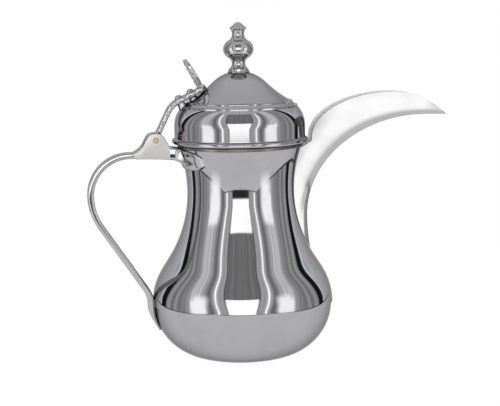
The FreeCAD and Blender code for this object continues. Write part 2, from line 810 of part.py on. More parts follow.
def lid_ring(name, radius):
    """Raised ring on the shoulder of the lid."""
    height = f"derived.skirt_top + sqrt(sizes.shoulder_radius^2 - ({radius} - derived.shoulder_x)^2)"
    ring = solid("Torus", name, Radius1=radius, Radius2="sizes.ring_bead")
    place(ring, "0", height)
    return ring


lid_rings = grouped(
    "lid_rings",
    [
        lid_ring("outer_ring", "derived.ring_radius"),
        lid_ring("inner_ring", "(derived.ring_radius - sizes.ring_pitch)"),
    ],
)
lid_whole = joined("lid_whole", [lid_shell, cut("lid_beads", lid_rings, lid_hollow)])

lid_collar = turned(
    "lid_collar",
    [
        ("derived.collar_radius - sizes.wall", "derived.collar_z"),
        ("derived.collar_radius", "derived.collar_z"),
        ("derived.collar_radius", "derived.lid_bottom"),
        ("derived.skirt_inner", "derived.lid_bottom"),
        ("derived.skirt_inner", "derived.lid_bottom + sizes.wall"),
        ("derived.collar_radius - sizes.wall", "derived.lid_bottom + sizes.wall"),
    ],
)

# Strap from the hinge barrel over the shoulder of the lid


def beside(across, up, cosine, sine, side):
    """Point half a strap's thickness to the left of a run, or to the right for side -1."""
    return (
        f"derived.{across} - {side} * derived.strap_half * derived.{sine}",
        f"derived.{up} + {side} * derived.strap_half * derived.{cosine}",
    )


RISE = ("rise_cos", "rise_sin")
TILT = ("tilt_cos", "tilt_sin")
INNER_BEND = ("sizes.strap_bend - derived.strap_half", -1)
OUTER_BEND = ("sizes.strap_bend + derived.strap_half", 1)
strap_bar = doc.addObject("PartDesign::Body", "strap_bar")
add_round(strap_bar, "Pad", "barrel", *PIN, "sizes.barrel_radius", "sizes.barrel_width")
add_pad(
    strap_bar,
    "strap_run",
    "XZ_Plane",
    [
        beside("pin_x", "pin_z", *RISE, -1),
        beside("knee_low_x", "knee_low_z", *RISE, -1) + INNER_BEND,
        beside("knee_high_x", "knee_high_z", *TILT, -1),
        beside("end_x", "end_z", *TILT, -1),
        beside("end_x", "end_z", *TILT, 1),
        beside("knee_high_x", "knee_high_z", *TILT, 1) + OUTER_BEND,
        beside("knee_low_x", "knee_low_z", *RISE, 1),
        beside("pin_x", "pin_z", *RISE, 1),
    ],
    "sizes.barrel_width",
)
add_pad(
    strap_bar,
    "strap_leaf",
    "XZ_Plane",
    [
        beside("knee_high_x", "knee_high_z", *TILT, -1),
        beside("end_x", "end_z", *TILT, -1),
        beside("end_x", "end_z", *TILT, 1),
        beside("knee_high_x", "knee_high_z", *TILT, 1),
    ],
    "sizes.strap_width",
)
add_round(
    strap_bar,
    "Pocket",
    "barrel_bore",
    *PIN,
    "sizes.pin_radius + sizes.pin_clearance",
    "2 * sizes.barrel_width",
)


def on_strap(item, inset, depth="0"):
    """Stand an object at a depth below the strap's upper face, at a distance from the strap's end."""
    place(
        item,
        f"derived.face_x - ({inset}) * derived.tilt_cos + ({depth}) * derived.tilt_sin",
        f"derived.face_z - ({inset}) * derived.tilt_sin - ({depth}) * derived.tilt_cos",
        "derived.strap_tilt",
    )


RIVET_INSETS = ("sizes.rivet_inset", "sizes.rivet_inset + sizes.rivet_pitch")


def bar_below_strap(name, radius, inset, depth="0"):
    """Round bar square to the strap, from its upper face, or a depth below it, down through the lid."""
    bar = solid("Cylinder", name, Radius=radius, Height="derived.knee_high_z - derived.lid_bottom")
    on_strap(bar, inset, depth)
    bar.Placement.Rotation = Rotation(Vector(0, -1, 0), number("derived.strap_tilt + 180deg"))
    return bar


strap_bosses = []
rivet_shanks = []
rivets = []
for count, inset in enumerate(RIVET_INSETS):
    boss = bar_below_strap(f"strap_boss_{count}", "sizes.boss_radius", inset, "derived.strap_half")
    shank = bar_below_strap(f"rivet_shank_{count}", "sizes.rivet_radius", inset)
    tail_bar = bar_below_strap(f"rivet_tail_bar_{count}", "sizes.rivet_tail", inset)
    tail = common(f"rivet_tail_{count}", tail_bar, lid_hollow)
    head = turned(
        f"rivet_head_{count}",
        [
            ("0", "0"),
            (
                "sizes.rivet_head",
                "0",
                "(sizes.rivet_head^2 + sizes.rivet_head_height^2) / (2 * sizes.rivet_head_height)",
                1,
            ),
            ("0", "sizes.rivet_head_height"),
        ],
    )
    on_strap(head, inset)
    strap_bosses.append(boss)
    rivet_shanks.append(shank)
    rivets.append(cut(f"rivet_{count}", joined(f"rivet_whole_{count}", [head, shank, tail]), lid_core))
strap_rivets = grouped("strap_rivets", rivets)
rivet_bores = grouped("rivet_bores", rivet_shanks)
strap_whole = joined("strap_whole", [strap_bar] + strap_bosses)
strap_seated = cut("strap_seated", cut("strap_on_lid", strap_whole, lid_fill), lid_rings)
hinge_strap = cut("hinge_strap", strap_seated, rivet_bores)
lid_dome = cut("lid_dome", lid_whole, rivet_bores)

HALF_LEVER = "sizes.lever_width / 2"
HALF_FOOT = "sizes.lever_foot / 2"
LEVER_ROUND = "sizes.lever_height - sizes.lever_width / 2"
thumb_lever = doc.addObject("PartDesign::Body", "thumb_lever")
add_pad(
    thumb_lever,
    "lever_plate",
    "YZ_Plane",
    [
        ("-" + HALF_FOOT, "0"),
        (HALF_FOOT, "0"),
        (HALF_LEVER, "sizes.lever_waist"),
        (HALF_LEVER, LEVER_ROUND, HALF_LEVER, 1),
        ("0", "sizes.lever_height", HALF_LEVER, 1),
        ("-" + HALF_LEVER, LEVER_ROUND),
        ("-" + HALF_LEVER, "sizes.lever_waist"),
    ],
    "sizes.lever_thickness",
)
on_strap(thumb_lever, "sizes.lever_inset")

# Finial with its stud, washer and nut


def bulb_touch(hollow):
    """Point where a hollow of the finial, the stem or the neck, touches the bulb."""
    share = f"sizes.bulb_curve / (sizes.bulb_curve + derived.{hollow}_curve)"
    return (
        f"derived.bulb_x + (derived.{hollow}_x - derived.bulb_x) * {share}",
        f"derived.bulb_z + (derived.{hollow}_z - derived.bulb_z) * {share}",
    )


finial = turned(
    "finial",
    [
        ("0", "derived.seat_z + sizes.stud_depth"),
        ("sizes.stud_radius", "derived.seat_z + sizes.stud_depth"),
        ("sizes.stud_radius", "derived.seat_z"),
        ("sizes.finial_base", "derived.seat_z"),
        ("sizes.finial_base", "derived.flange_z"),
        ("derived.flange_step", "derived.stem_foot", "derived.stem_curve", -1),
        bulb_touch("stem") + ("sizes.bulb_curve", 1),
        bulb_touch("neck") + ("derived.neck_curve", -1),
        ("derived.cap_x", "derived.cap_z"),
        ("sizes.tip_radius", "derived.tip_z - sizes.tip_rise", "derived.tip_curve", 1),
        ("0", "derived.tip_z"),
    ],
)

WASHER_TOP = "derived.seat_z - sizes.wall"
NUT_TOP = f"{WASHER_TOP} - sizes.washer_thickness"
NUT_LOW = f"{NUT_TOP} - sizes.nut_height"
finial_stud = solid(
    "Cylinder",
    "finial_stud",
    Radius="sizes.stud_radius",
    Height="sizes.stud_depth + sizes.wall + sizes.washer_thickness + sizes.nut_height + sizes.stud_tail",
)
place(finial_stud, "0", f"{NUT_LOW} - sizes.stud_tail")

finial_washer = turned(
    "finial_washer",
    [
        ("derived.stud_hole", NUT_TOP),
        ("sizes.washer_radius", NUT_TOP),
        ("sizes.washer_radius", WASHER_TOP),
        ("derived.stud_hole", WASHER_TOP),
    ],
)

nut_blank = solid("Prism", "nut_blank", Circumradius="sizes.nut_radius / cos(30)", Height="sizes.nut_height")
nut_blank.Polygon = 6
place(nut_blank, "0", NUT_LOW)
finial_nut = cut("finial_nut", nut_blank, finial_stud)

# Spout: an open channel, lofted through sections square to its keel, with the rim cut from the side

WALL = number("sizes.wall")
FLARE = math.radians(number("sizes.spout_flare"))
THROAT = number("derived.throat_x")
MOUTH_HEIGHT = number("sizes.mouth_height")
TIP = Vector(number("sizes.spout_reach"), 0, MOUTH_HEIGHT + number("sizes.spout_tip_rise"))
KEEL_CREST = Vector(TIP.x - number("sizes.spout_beak"), 0, MOUTH_HEIGHT + number("sizes.spout_keel_rise"))
KEEL_CORNER = Vector(KEEL_CREST.x, 0, number("sizes.waist_height - sizes.spout_turn_drop"))
RIM_CREST = Vector(
    TIP.x - number("sizes.spout_crest_back"), 0, MOUTH_HEIGHT + number("sizes.spout_crest_rise")
)
KEEL_SPAN = KEEL_CORNER.x - THROAT
KEEL_RISE = KEEL_CREST.z - KEEL_CORNER.z
KEEL_RADIUS = number("sizes.spout_keel_radius")
CREST_RADIUS = number("sizes.spout_crest_radius")
TIP_RADIUS = number("sizes.spout_tip_radius")
# The sections are deep enough to reach into the body, and end short of the centre of the keel's bend
CHANNEL_DEPTH = number("sizes.spout_depth_share") * min(THROAT, KEEL_RISE**2 / KEEL_SPAN)


def keel_stations(overrun):
    """Points along the keel, each with its direction and keel radius, with both ends run on by overrun.

    The keel rises straight, bends over in a quarter of an ellipse and runs out to the tip.
    """
    root = Vector(THROAT, 0, number("derived.root_z") - overrun)
    stations = [(root, Vector(0, 0, 1), KEEL_RADIUS)]
    for quarter, radius in (
        (0, KEEL_RADIUS),
        (0.25, KEEL_RADIUS),
        (0.5, KEEL_RADIUS),
        (0.75, (KEEL_RADIUS + CREST_RADIUS) / 2),
        (1, CREST_RADIUS),
    ):
        angle = quarter * math.pi / 2
        point = KEEL_CORNER + Vector(-KEEL_SPAN * math.cos(angle), 0, KEEL_RISE * math.sin(angle))
        heading = Vector(KEEL_SPAN * math.sin(angle), 0, KEEL_RISE * math.cos(angle)).normalize()
        stations.append((point, heading, radius))
    beak = (TIP - KEEL_CREST).normalize()
    stations.append((TIP + beak * overrun, beak, TIP_RADIUS))
    return stations


def channel(inset):
    """Solid that fills the channel up to a surface inside its outer one, and runs out past its open sides."""
    wires = []
    depth = CHANNEL_DEPTH + inset
    for point, heading, radius in keel_stations(inset):
        inward = Vector(-heading.z, 0, heading.x)
        bend = radius - inset
        touch_aside = bend * math.cos(FLARE)
        touch_depth = radius - bend * math.sin(FLARE)
        top_aside = touch_aside + (depth - touch_depth) * math.tan(FLARE)
        left_touch, right_touch = (
            point + inward * touch_depth + Vector(0, side * touch_aside, 0) for side in (-1, 1)
        )
        left_top, right_top = (
            point + inward * depth + Vector(0, side * top_aside, 0) for side in (-1, 1)
        )
        wires.append(
            Part.Wire(
                [
                    Part.LineSegment(left_top, left_touch).toShape(),
                    Part.Arc(left_touch, point + inward * inset, right_touch).toShape(),
                    Part.LineSegment(right_touch, right_top).toShape(),
                    Part.LineSegment(right_top, left_top).toShape(),
                ]
            )
        )
    return Part.makeLoft(wires, True)


def above_rim():
    """Block above the rim, which leaves the neck under the lid, rises beside it and falls to the tip."""
    neck = Vector(number("derived.mouth_outer"), 0, number("sizes.mouth_height - sizes.spout_rim_dip"))
    foot_x = number("derived.flange_radius + sizes.spout_lid_gap")
    foot = Vector(foot_x, 0, number("derived.lid_bottom - sizes.lid_gap"))
    spring = Vector(foot_x, 0, number("derived.lid_bottom + sizes.spout_rim_lift"))
    hollow = Vector(RIM_CREST.x, 0, spring.z)
    rising = Part.Ellipse(hollow - spring + hollow, RIM_CREST, hollow)
    fall = RIM_CREST.z - TIP.z
    fall_radius = ((TIP.x - RIM_CREST.x) ** 2 + fall**2) / (2 * fall)
    half_turn = math.asin((TIP.x - RIM_CREST.x) / fall_radius) / 2
    falling_middle = RIM_CREST + Vector(
        fall_radius * math.sin(half_turn), 0, fall_radius * (math.cos(half_turn) - 1)
    )
    beyond = Vector(TIP.x + CHANNEL_DEPTH, 0, TIP.z)
    sky = RIM_CREST.z + CHANNEL_DEPTH
    wire = Part.Wire(
        Part.makePolygon([Vector(0, 0, neck.z), neck, foot, spring]).Edges
        + [
            Part.ArcOfEllipse(rising, math.pi / 2, math.pi).toShape(),
            Part.Arc(RIM_CREST, falling_middle, TIP).toShape(),
        ]
        + Part.makePolygon(
            [TIP, beyond, Vector(beyond.x, 0, sky), Vector(0, 0, sky), Vector(0, 0, neck.z)]
        ).Edges
    )
    block = Part.Face(wire).extrude(Vector(0, 2 * CHANNEL_DEPTH, 0))
    block.translate(Vector(0, -CHANNEL_DEPTH, 0))
    return block


doc.recompute()
spout = doc.addObject("Part::Feature", "spout")
spout.Shape = channel(0).cut(channel(WALL)).cut(above_rim()).cut(body_envelope.Shape)
spout.Placement = Placement()

# Check every object, then write each piece

PIECES = [
    upper_body,
    lower_bowl,
    base_disc,
    mouth_ring,
    spout,
    spout_strainer,
    hinge_saddle,
    hinge_bracket,
    hinge_pin,
    handle_loop,
    lid_dome,
    lid_collar,
    hinge_strap,
    thumb_lever,
    strap_rivets,
    finial,
    finial_stud,
    finial_washer,
    finial_nut,
]
doc.recompute()
for item in doc.Objects:
    if "Invalid" in item.State or "Error" in item.State:
        raise RuntimeError(f"{item.Label} failed: {item.getStatusString()}")
for piece in PIECES:
    if piece.Shape.isNull() or not piece.Shape.isValid():
        raise RuntimeError(f"{piece.Label} has no valid shape")

os.makedirs("parts", exist_ok=True)
for piece in PIECES:
    piece.Shape.exportStep(f"parts/{piece.Label}.step")
    print(piece.Label, len(piece.Shape.Solids), round(piece.Shape.Volume, 1))
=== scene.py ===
import math

import bmesh
import bpy
from mathutils import Matrix, Vector


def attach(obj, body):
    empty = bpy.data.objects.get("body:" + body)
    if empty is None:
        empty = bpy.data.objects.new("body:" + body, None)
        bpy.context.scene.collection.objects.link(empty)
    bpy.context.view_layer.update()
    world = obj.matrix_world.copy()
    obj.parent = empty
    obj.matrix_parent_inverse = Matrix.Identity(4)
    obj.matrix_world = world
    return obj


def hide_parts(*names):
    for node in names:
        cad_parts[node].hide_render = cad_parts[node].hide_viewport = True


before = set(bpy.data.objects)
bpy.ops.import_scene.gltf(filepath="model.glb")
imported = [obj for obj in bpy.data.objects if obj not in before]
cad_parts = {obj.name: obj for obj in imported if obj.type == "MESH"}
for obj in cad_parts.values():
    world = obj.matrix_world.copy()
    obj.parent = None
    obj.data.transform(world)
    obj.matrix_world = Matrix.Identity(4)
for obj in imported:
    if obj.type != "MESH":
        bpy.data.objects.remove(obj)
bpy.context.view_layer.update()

# Coffee pot with a crescent spout, a strap handle and a hinged lid.
# Outlines are in millimetres, with +Z up and +X towards the spout; meshes are in metres.
MM = 0.001
SPIN_STEPS = 180

# Body
WALL = 1.0
BELLY_RADIUS = 72.0
BELLY_HEIGHT = 43.5
BELLY_CURVE = 49.0
WAIST_RADIUS = 41.5
WAIST_HEIGHT = 134.0
MOUTH_HEIGHT = 169.5
FLAT_RADIUS = BELLY_RADIUS - BELLY_HEIGHT
BASE_LAND = 8.5
BASE_HOLE = FLAT_RADIUS - BASE_LAND
WINDOW_LOW = 112.0
WINDOW_HIGH = 150.0
WINDOW_RADIUS = 5.0
WINDOW_MARGIN = 15.0
PROFILE_EASE = 260

# The belly arc and the waist arc touch where their centres are in line
WAIST_STEP = BELLY_RADIUS - WAIST_RADIUS
WAIST_RISE = WAIST_HEIGHT - BELLY_HEIGHT
CURVE_SPAN = (WAIST_STEP**2 + WAIST_RISE**2) / (2 * WAIST_STEP)
WAIST_CURVE = CURVE_SPAN - BELLY_CURVE
WAIST_CENTRE = (WAIST_RADIUS + WAIST_CURVE, WAIST_HEIGHT)
BELLY_CENTRE = (BELLY_RADIUS - BELLY_CURVE, BELLY_HEIGHT)
TOUCH_ANGLE = math.degrees(math.asin(WAIST_RISE / CURVE_SPAN))
MOUTH_ANGLE = math.degrees(math.asin((MOUTH_HEIGHT - WAIST_HEIGHT) / WAIST_CURVE))
MOUTH_RADIUS = WAIST_CENTRE[0] - WAIST_CURVE * math.cos(math.radians(MOUTH_ANGLE))

# Lid
LID_BOTTOM = 172.3
SKIRT_OVERHANG = 4.02
SKIRT_HEIGHT = 13.6
SKIRT_EASE = 0.4
SKIRT_RADIUS = MOUTH_RADIUS + SKIRT_OVERHANG
SKIRT_TOP = LID_BOTTOM + SKIRT_HEIGHT
FLANGE_BEAD = 2.0
FLANGE_FLAT = 0.2
FLANGE_BLEND = 0.8
SHOULDER_CURVE = 22.0
LID_SWEEP = 100.0
CROWN_CURVE = 30.0
CROWN_HEIGHT = 56.4
SEAT_RADIUS = 8.8
STUD_HOLE = 2.2
RING_INSETS = (6.4, 10.4)
RING_HEIGHT = 0.85
RING_SPREAD = 1.3

# Hinge, on the handle's side
PIN = (-67.9976, 176.5)
BARREL_RADIUS = 4.5
BARREL_BORE = 2.38
BARREL_WIDTH = 9.0
BARREL_EASE = 0.5


def arc(centre, radius, start, finish, count):
    """Points along an arc, with angles in degrees and both ends included."""
    points = []
    for index in range(count + 1):
        angle = math.radians(start + (finish - start) * index / count)
        points.append((centre[0] + radius * math.cos(angle), centre[1] + radius * math.sin(angle)))
    return points


def line(start, finish, count):
    """Points along a straight run, both ends included."""
    return [
        (
            start[0] + (finish[0] - start[0]) * index / count,
            start[1] + (finish[1] - start[1]) * index / count,
        )
        for index in range(count + 1)
    ]


def blend(low, high, share):
    """Value between low and high, eased at both ends."""
    share = min(max(share, 0.0), 1.0)
    return low + (high - low) * share * share * (3 - 2 * share)


def shares(steps):
    """Even shares from 0 to 1, both included."""
    return [index / steps for index in range(steps + 1)]


def ahead(point, distance, way):
    """Point at a distance from another, along a unit pair across and up."""
    return point[0] + distance * way[0], point[1] + distance * way[1]


def bearing(start, finish):
    """Angle in degrees from one point to another."""
    return math.degrees(math.atan2(finish[1] - start[1], finish[0] - start[0]))


def mend(mesh):
    """Merge what lies on one point and turn the faces outwards."""
    bmesh.ops.remove_doubles(mesh, verts=mesh.verts[:], dist=1e-7)
    bmesh.ops.recalc_face_normals(mesh, faces=mesh.faces[:])
    return mesh


def fresh_verts(grown):
    """Vertices among what an operator made."""
    return [item for item in grown["geom"] if isinstance(item, bmesh.types.BMVert)]


def chain_edges(mesh, spots, closed):
    """Edges that join the vertices in order."""
    pairs = list(zip(spots, spots[1:]))
    if closed:
        pairs.append((spots[-1], spots[0]))
    return [mesh.edges.get(pair) or mesh.edges.new(pair) for pair in pairs]


def spun(outline, closed=True, steps=SPIN_STEPS):
    """Mesh turned about the pot's axis from an outline of radius and height."""
    mesh = bmesh.new()
    spots = [mesh.verts.new((across * MM, 0, up * MM)) for across, up in outline]
    edges = chain_edges(mesh, spots, closed)
    bmesh.ops.spin(
        mesh,
        geom=spots + edges,
        cent=(0, 0, 0),
        axis=(0, 0, 1),
        dvec=(0, 0, 0),
        angle=2 * math.pi,
        steps=steps,
        use_merge=True,
        use_duplicate=False,
    )
    return mend(mesh)


def swept(stations, closed=True):
    """Mesh extruded through one chain of points to a station, in millimetres; closed chains are capped."""
    mesh = bmesh.new()
    spots = [mesh.verts.new(Vector(point) * MM) for point in stations[0]]
    edges = chain_edges(mesh, spots, closed)
    if closed:
        bmesh.ops.contextual_create(mesh, geom=edges)
    for station in stations[1:]:
        fresh = set(fresh_verts(bmesh.ops.extrude_edge_only(mesh, edges=edges)))
        spots = [
            next(edge.other_vert(spot) for edge in spot.link_edges if edge.other_vert(spot) in fresh)
            for spot in spots
        ]
        edges = chain_edges(mesh, spots, closed)
        for spot, point in zip(spots, station):
            spot.co = Vector(point) * MM
    if closed:
        bmesh.ops.contextual_create(mesh, geom=edges)
    return mend(mesh)


def slab(outline, low, high):
    """Plate with an outline in the XZ plane, from one place along Y to another."""
    mesh = bmesh.new()
    spots = [mesh.verts.new((across * MM, low * MM, up * MM)) for across, up in outline]
    face = mesh.faces.new(spots)
    moved = fresh_verts(bmesh.ops.extrude_face_region(mesh, geom=[face]))
    bmesh.ops.translate(mesh, verts=moved, vec=(0, (high - low) * MM, 0))
    return mend(mesh)


def ease_edges(mesh, edges, offset, segments):
    """Round some edges of a mesh."""
    bmesh.ops.bevel(
        mesh,
        geom=edges,
        offset=offset * MM,
        offset_type="OFFSET",
        segments=segments,
        profile=0.5,
        affect="EDGES",
        material=-1,
        clamp_overlap=True,
    )


def add_mesh(mesh, other):
    """Put another mesh into this one."""
    carrier = bpy.data.meshes.new("carrier")
    other.to_mesh(carrier)
    other.free()
    mesh.from_mesh(carrier)
    bpy.data.meshes.remove(carrier)


def placed(name, mesh, material):
    """Put a finished mesh into the scene as an object."""
    data = bpy.data.meshes.new(name)
    mesh.to_mesh(data)
    mesh.free()
    data.materials.append(material)
    item = bpy.data.objects.new(name, data)
    bpy.context.scene.collection.objects.link(item)
    return item


def piece(name, mesh, body, material, nodes, sharp_angle=38):
    """Put a finished mesh into the scene, smooth up to an angle, for the nodes it stands for."""
    item = placed(name, mesh, material)
    item.data.shade_smooth()
    item.data.set_sharp_from_angle(angle=math.radians(sharp_angle))
    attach(item, body)
    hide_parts(*nodes)


def body_radius(height):
    """Outer radius of the body at a height."""
    if height < BELLY_HEIGHT:
        return FLAT_RADIUS + math.sqrt(max(BELLY_HEIGHT**2 - (BELLY_HEIGHT - height) ** 2, 0))
    if height < BELLY_HEIGHT + BELLY_CURVE * math.sin(math.radians(TOUCH_ANGLE)):
        return BELLY_CENTRE[0] + math.sqrt(BELLY_CURVE**2 - (height - BELLY_HEIGHT) ** 2)
    return WAIST_CENTRE[0] - math.sqrt(WAIST_CURVE**2 - (height - WAIST_HEIGHT) ** 2)


# Materials


def fill(tree, socket, value):
    """Link another node's output to an input, or set a plain value on it."""
    if isinstance(value, bpy.types.NodeSocket):
        tree.links.new(value, socket)
    else:
        socket.default_value = value


def node(tree, kind, **values):
    """Add a node, with settings by attribute and inputs by name, each a plain value or an output to link."""
    item = tree.nodes.new(kind)
    for name, value in values.items():
        if hasattr(item, name):
            setattr(item, name, value)
        else:
            fill(tree, item.inputs[name.replace("_", " ")], value)
    return item


def maths(tree, operation, *terms):
    """Output of a maths node whose terms are numbers or outputs of other nodes."""
    item = node(tree, "ShaderNodeMath", operation=operation)
    for socket, term in zip(item.inputs, terms):
        fill(tree, socket, term)
    return item.outputs["Value"]


def noise(tree, place, **values):
    """Output of a noise texture at a place."""
    return node(tree, "ShaderNodeTexNoise", Vector=place, **values).outputs["Fac"]


def mapped(tree, value, **limits):
    """A value moved from one range to another."""
    return node(tree, "ShaderNodeMapRange", Value=value, **limits).outputs["Result"]


def mixed(tree, kind, share, first, second):
    """Mix of two colours or two plain values."""
    return node(tree, "ShaderNodeMix", data_type=kind, Factor=share, A=first, B=second).outputs["Result"]


def show_mix(tree, share, first, second, output):
    """Mix two shaders and show the mix."""
    mix = node(tree, "ShaderNodeMixShader", Fac=share)
    fill(tree, mix.inputs[1], first)
    fill(tree, mix.inputs[2], second)
    fill(tree, tree.nodes[output].inputs["Surface"], mix.outputs["Shader"])


def new_material(name):
    """Material with nodes, and its node tree."""
    material = bpy.data.materials.new(name)
    material.use_nodes = True
    return material, material.node_tree


def new_group(name, inputs, outputs):
    """Empty shader node group with named sockets."""
    group = bpy.data.node_groups.new(name, "ShaderNodeTree")
    for label, kind, value in inputs:
        socket = group.interface.new_socket(label, in_out="INPUT", socket_type=kind)
        socket.default_value = value
    for label, kind in outputs:
        group.interface.new_socket(label, in_out="OUTPUT", socket_type=kind)
    return group, group.nodes.new("NodeGroupInput"), group.nodes.new("NodeGroupOutput")


def metal_surface_group():
    """Colour, roughness and normal of worked metal: smudges, lathe lines, fine scratches and slow waves."""
    group, given, made = new_group(
        "metal_surface",
        [
            ("Clean Colour", "NodeSocketColor", (0.66, 0.66, 0.67, 1)),
            ("Dull Colour", "NodeSocketColor", (0.58, 0.58, 0.59, 1)),
            ("Clean Roughness", "NodeSocketFloat", 0.05),
            ("Dull Roughness", "NodeSocketFloat", 0.14),
            ("Line Depth", "NodeSocketFloat", 0.02),
            ("Wave Depth", "NodeSocketFloat", 0.02),
        ],
        [("Colour", "NodeSocketColor"), ("Roughness", "NodeSocketFloat"), ("Normal", "NodeSocketVector")],
    )
    place = node(group, "ShaderNodeTexCoord").outputs["Object"]
    smudged = mapped(
        group, noise(group, place, Scale=38.0, Detail=5.0, Roughness=0.62), From_Min=0.45, From_Max=0.78
    )
    colour = mixed(group, "RGBA", smudged, given.outputs["Clean Colour"], given.outputs["Dull Colour"])
    scratch_place = node(
        group, "ShaderNodeMapping", Vector=place, Scale=(900.0, 900.0, 60.0), Rotation=(0.35, 0.2, 0.5)
    )
    scratch = noise(group, scratch_place.outputs["Vector"], Scale=1.0, Detail=2.0)
    scratched = mapped(group, scratch, From_Min=0.66, From_Max=0.8, To_Max=0.6)
    roughness = mapped(
        group,
        maths(group, "MAXIMUM", smudged, scratched),
        To_Min=given.outputs["Clean Roughness"],
        To_Max=given.outputs["Dull Roughness"],
    )
    line_place = node(group, "ShaderNodeMapping", Vector=place, Scale=(25.0, 25.0, 2600.0))
    lathe_lines = node(
        group,
        "ShaderNodeBump",
        Distance=0.00004,
        Strength=given.outputs["Line Depth"],
        Height=noise(group, line_place.outputs["Vector"], Scale=1.0, Detail=2.0),
    )
    waves = node(
        group,
        "ShaderNodeBump",
        Distance=0.002,
        Strength=given.outputs["Wave Depth"],
        Height=noise(group, place, Scale=22.0, Detail=1.0),
        Normal=lathe_lines.outputs["Normal"],
    )
    fill(group, made.inputs["Colour"], colour)
    fill(group, made.inputs["Roughness"], roughness)
    fill(group, made.inputs["Normal"], waves.outputs["Normal"])
    return group


def rough_and_painted_light_inside_group():
    """Rougher finish on faces that look towards the pot's middle plane, as the unpolished insides of sheets
    have, with a lighter colour there that is painted light on the shaded insides.
    """
    group, given, made = new_group(
        "rough_and_painted_light_inside",
        [
            ("Colour", "NodeSocketColor", (0.40, 0.40, 0.41, 1)),
            ("Roughness", "NodeSocketFloat", 0.05),
            ("Inside Colour", "NodeSocketColor", (0.62, 0.62, 0.63, 1)),
            ("Inside Roughness", "NodeSocketFloat", 0.42),
        ],
        [("Colour", "NodeSocketColor"), ("Roughness", "NodeSocketFloat")],
    )
    place = node(group, "ShaderNodeTexCoord")
    sides = [
        node(group, "ShaderNodeSeparateXYZ", Vector=place.outputs[source]).outputs["Y"]
        for source in ("Object", "Normal")
    ]
    inside = maths(group, "LESS_THAN", maths(group, "MULTIPLY", *sides), 0.0)
    # The lighter inside colour is painted light on the shaded insides of body, lid and spout; the higher
    # roughness is the unpolished sheet
    for label, kind in (("Colour", "RGBA"), ("Roughness", "FLOAT")):
        finish = mixed(group, kind, inside, given.outputs[label], given.outputs["Inside " + label])
        fill(group, made.inputs[label], finish)
    return group


METAL_SURFACE = metal_surface_group()
ROUGH_AND_PAINTED_LIGHT_INSIDE = rough_and_painted_light_inside_group()

# Keeps the metal from turning white where it is seen edge on
EDGE_TINT = (0.42, 0.42, 0.43, 1)


def metal(name, clean, dull, clean_roughness, dull_roughness, line_depth, wave_depth, sheet=False):
    """Metal from the shared surface group, with an unpolished inside where it is a sheet, painted lighter
    there as light on the shaded inside.
    """
    material, tree = new_material(name)
    surface = node(
        tree,
        "ShaderNodeGroup",
        node_tree=METAL_SURFACE,
        Clean_Colour=(*clean, 1),
        Dull_Colour=(*dull, 1),
        Clean_Roughness=clean_roughness,
        Dull_Roughness=dull_roughness,
        Line_Depth=line_depth,
        Wave_Depth=wave_depth,
    )
    finish = surface.outputs
    if sheet:
        inside = node(tree, "ShaderNodeGroup", node_tree=ROUGH_AND_PAINTED_LIGHT_INSIDE)
        for label in ("Colour", "Roughness"):
            fill(tree, inside.inputs[label], surface.outputs[label])
        finish = inside.outputs
    shader = tree.nodes["Principled BSDF"]
    for label, value in (
        ("Base Color", finish["Colour"]),
        ("Metallic", 1.0),
        ("Roughness", finish["Roughness"]),
        ("Normal", surface.outputs["Normal"]),
        ("Specular Tint", EDGE_TINT),
    ):
        fill(tree, shader.inputs[label], value)
    return material


# Clean and dull colour, clean and dull roughness, depth of lathe lines and of waves, sheet or not
MIRROR_STEEL = metal("mirror_steel", (0.40, 0.40, 0.41), (0.36, 0.36, 0.37), 0.035, 0.11, 0.05, 0.010, True)
SOFT_STEEL = metal("soft_steel", (0.45, 0.45, 0.45), (0.41, 0.41, 0.41), 0.07, 0.14, 0.0, 0.02, True)
PALE_STEEL = metal("pale_steel", (0.56, 0.55, 0.54), (0.50, 0.49, 0.48), 0.34, 0.42, 0.0, 0.02)
# Painted shade: the dark colour of this steel stands for the shadow in the gap under the lid's flange
GAP_SHADE_STEEL = metal("gap_shade_steel", (0.19, 0.18, 0.17), (0.13, 0.12, 0.11), 0.25, 0.40, 0.1, 0.02)
CAST_STEEL = metal("cast_steel", (0.47, 0.47, 0.47), (0.38, 0.38, 0.38), 0.18, 0.30, 0.0, 0.02)
SATIN_STEEL = metal("satin_steel", (0.36, 0.36, 0.37), (0.29, 0.29, 0.29), 0.24, 0.40, 0.5, 0.02)
WORN_BRASS = metal("worn_brass", (0.62, 0.42, 0.17), (0.42, 0.28, 0.11), 0.18, 0.38, 0.1, 0.05)


# Spun body


def body_profile():
    """Outer profile from the flat of the base to the mouth, eased so that bends run into each other."""
    points = arc((FLAT_RADIUS, BELLY_HEIGHT), BELLY_HEIGHT, -90, 0, 120)
    points += arc(BELLY_CENTRE, BELLY_CURVE, 0, TOUCH_ANGLE, 56)[1:]
    points += arc(WAIST_CENTRE, WAIST_CURVE, 180 + TOUCH_ANGLE, 180 - MOUTH_ANGLE, 180)[1:]
    for turn in range(PROFILE_EASE):
        eased = [
            ((before[0] + 2 * here[0] + after[0]) / 4, (before[1] + 2 * here[1] + after[1]) / 4)
            for before, here, after in zip(points, points[1:], points[2:])
        ]
        points = [points[0]] + eased + [points[-1]]
    return points


BODY_PROFILE = body_profile()
SEAM = max(range(len(BODY_PROFILE)), key=lambda index: BODY_PROFILE[index][0])


def build_bowl():
    """Round lower bowl with a flat land at the base."""
    outer = BODY_PROFILE[: SEAM + 1]
    seam = outer[-1]
    inner = arc((seam[0] - seam[1], seam[1]), seam[1] - WALL, 0, -90, 50)
    mesh = spun(outer + inner + [(BASE_HOLE, WALL), (BASE_HOLE, 0)])
    piece("bowl_shell", mesh, "pot", MIRROR_STEEL, ["lower_bowl"])


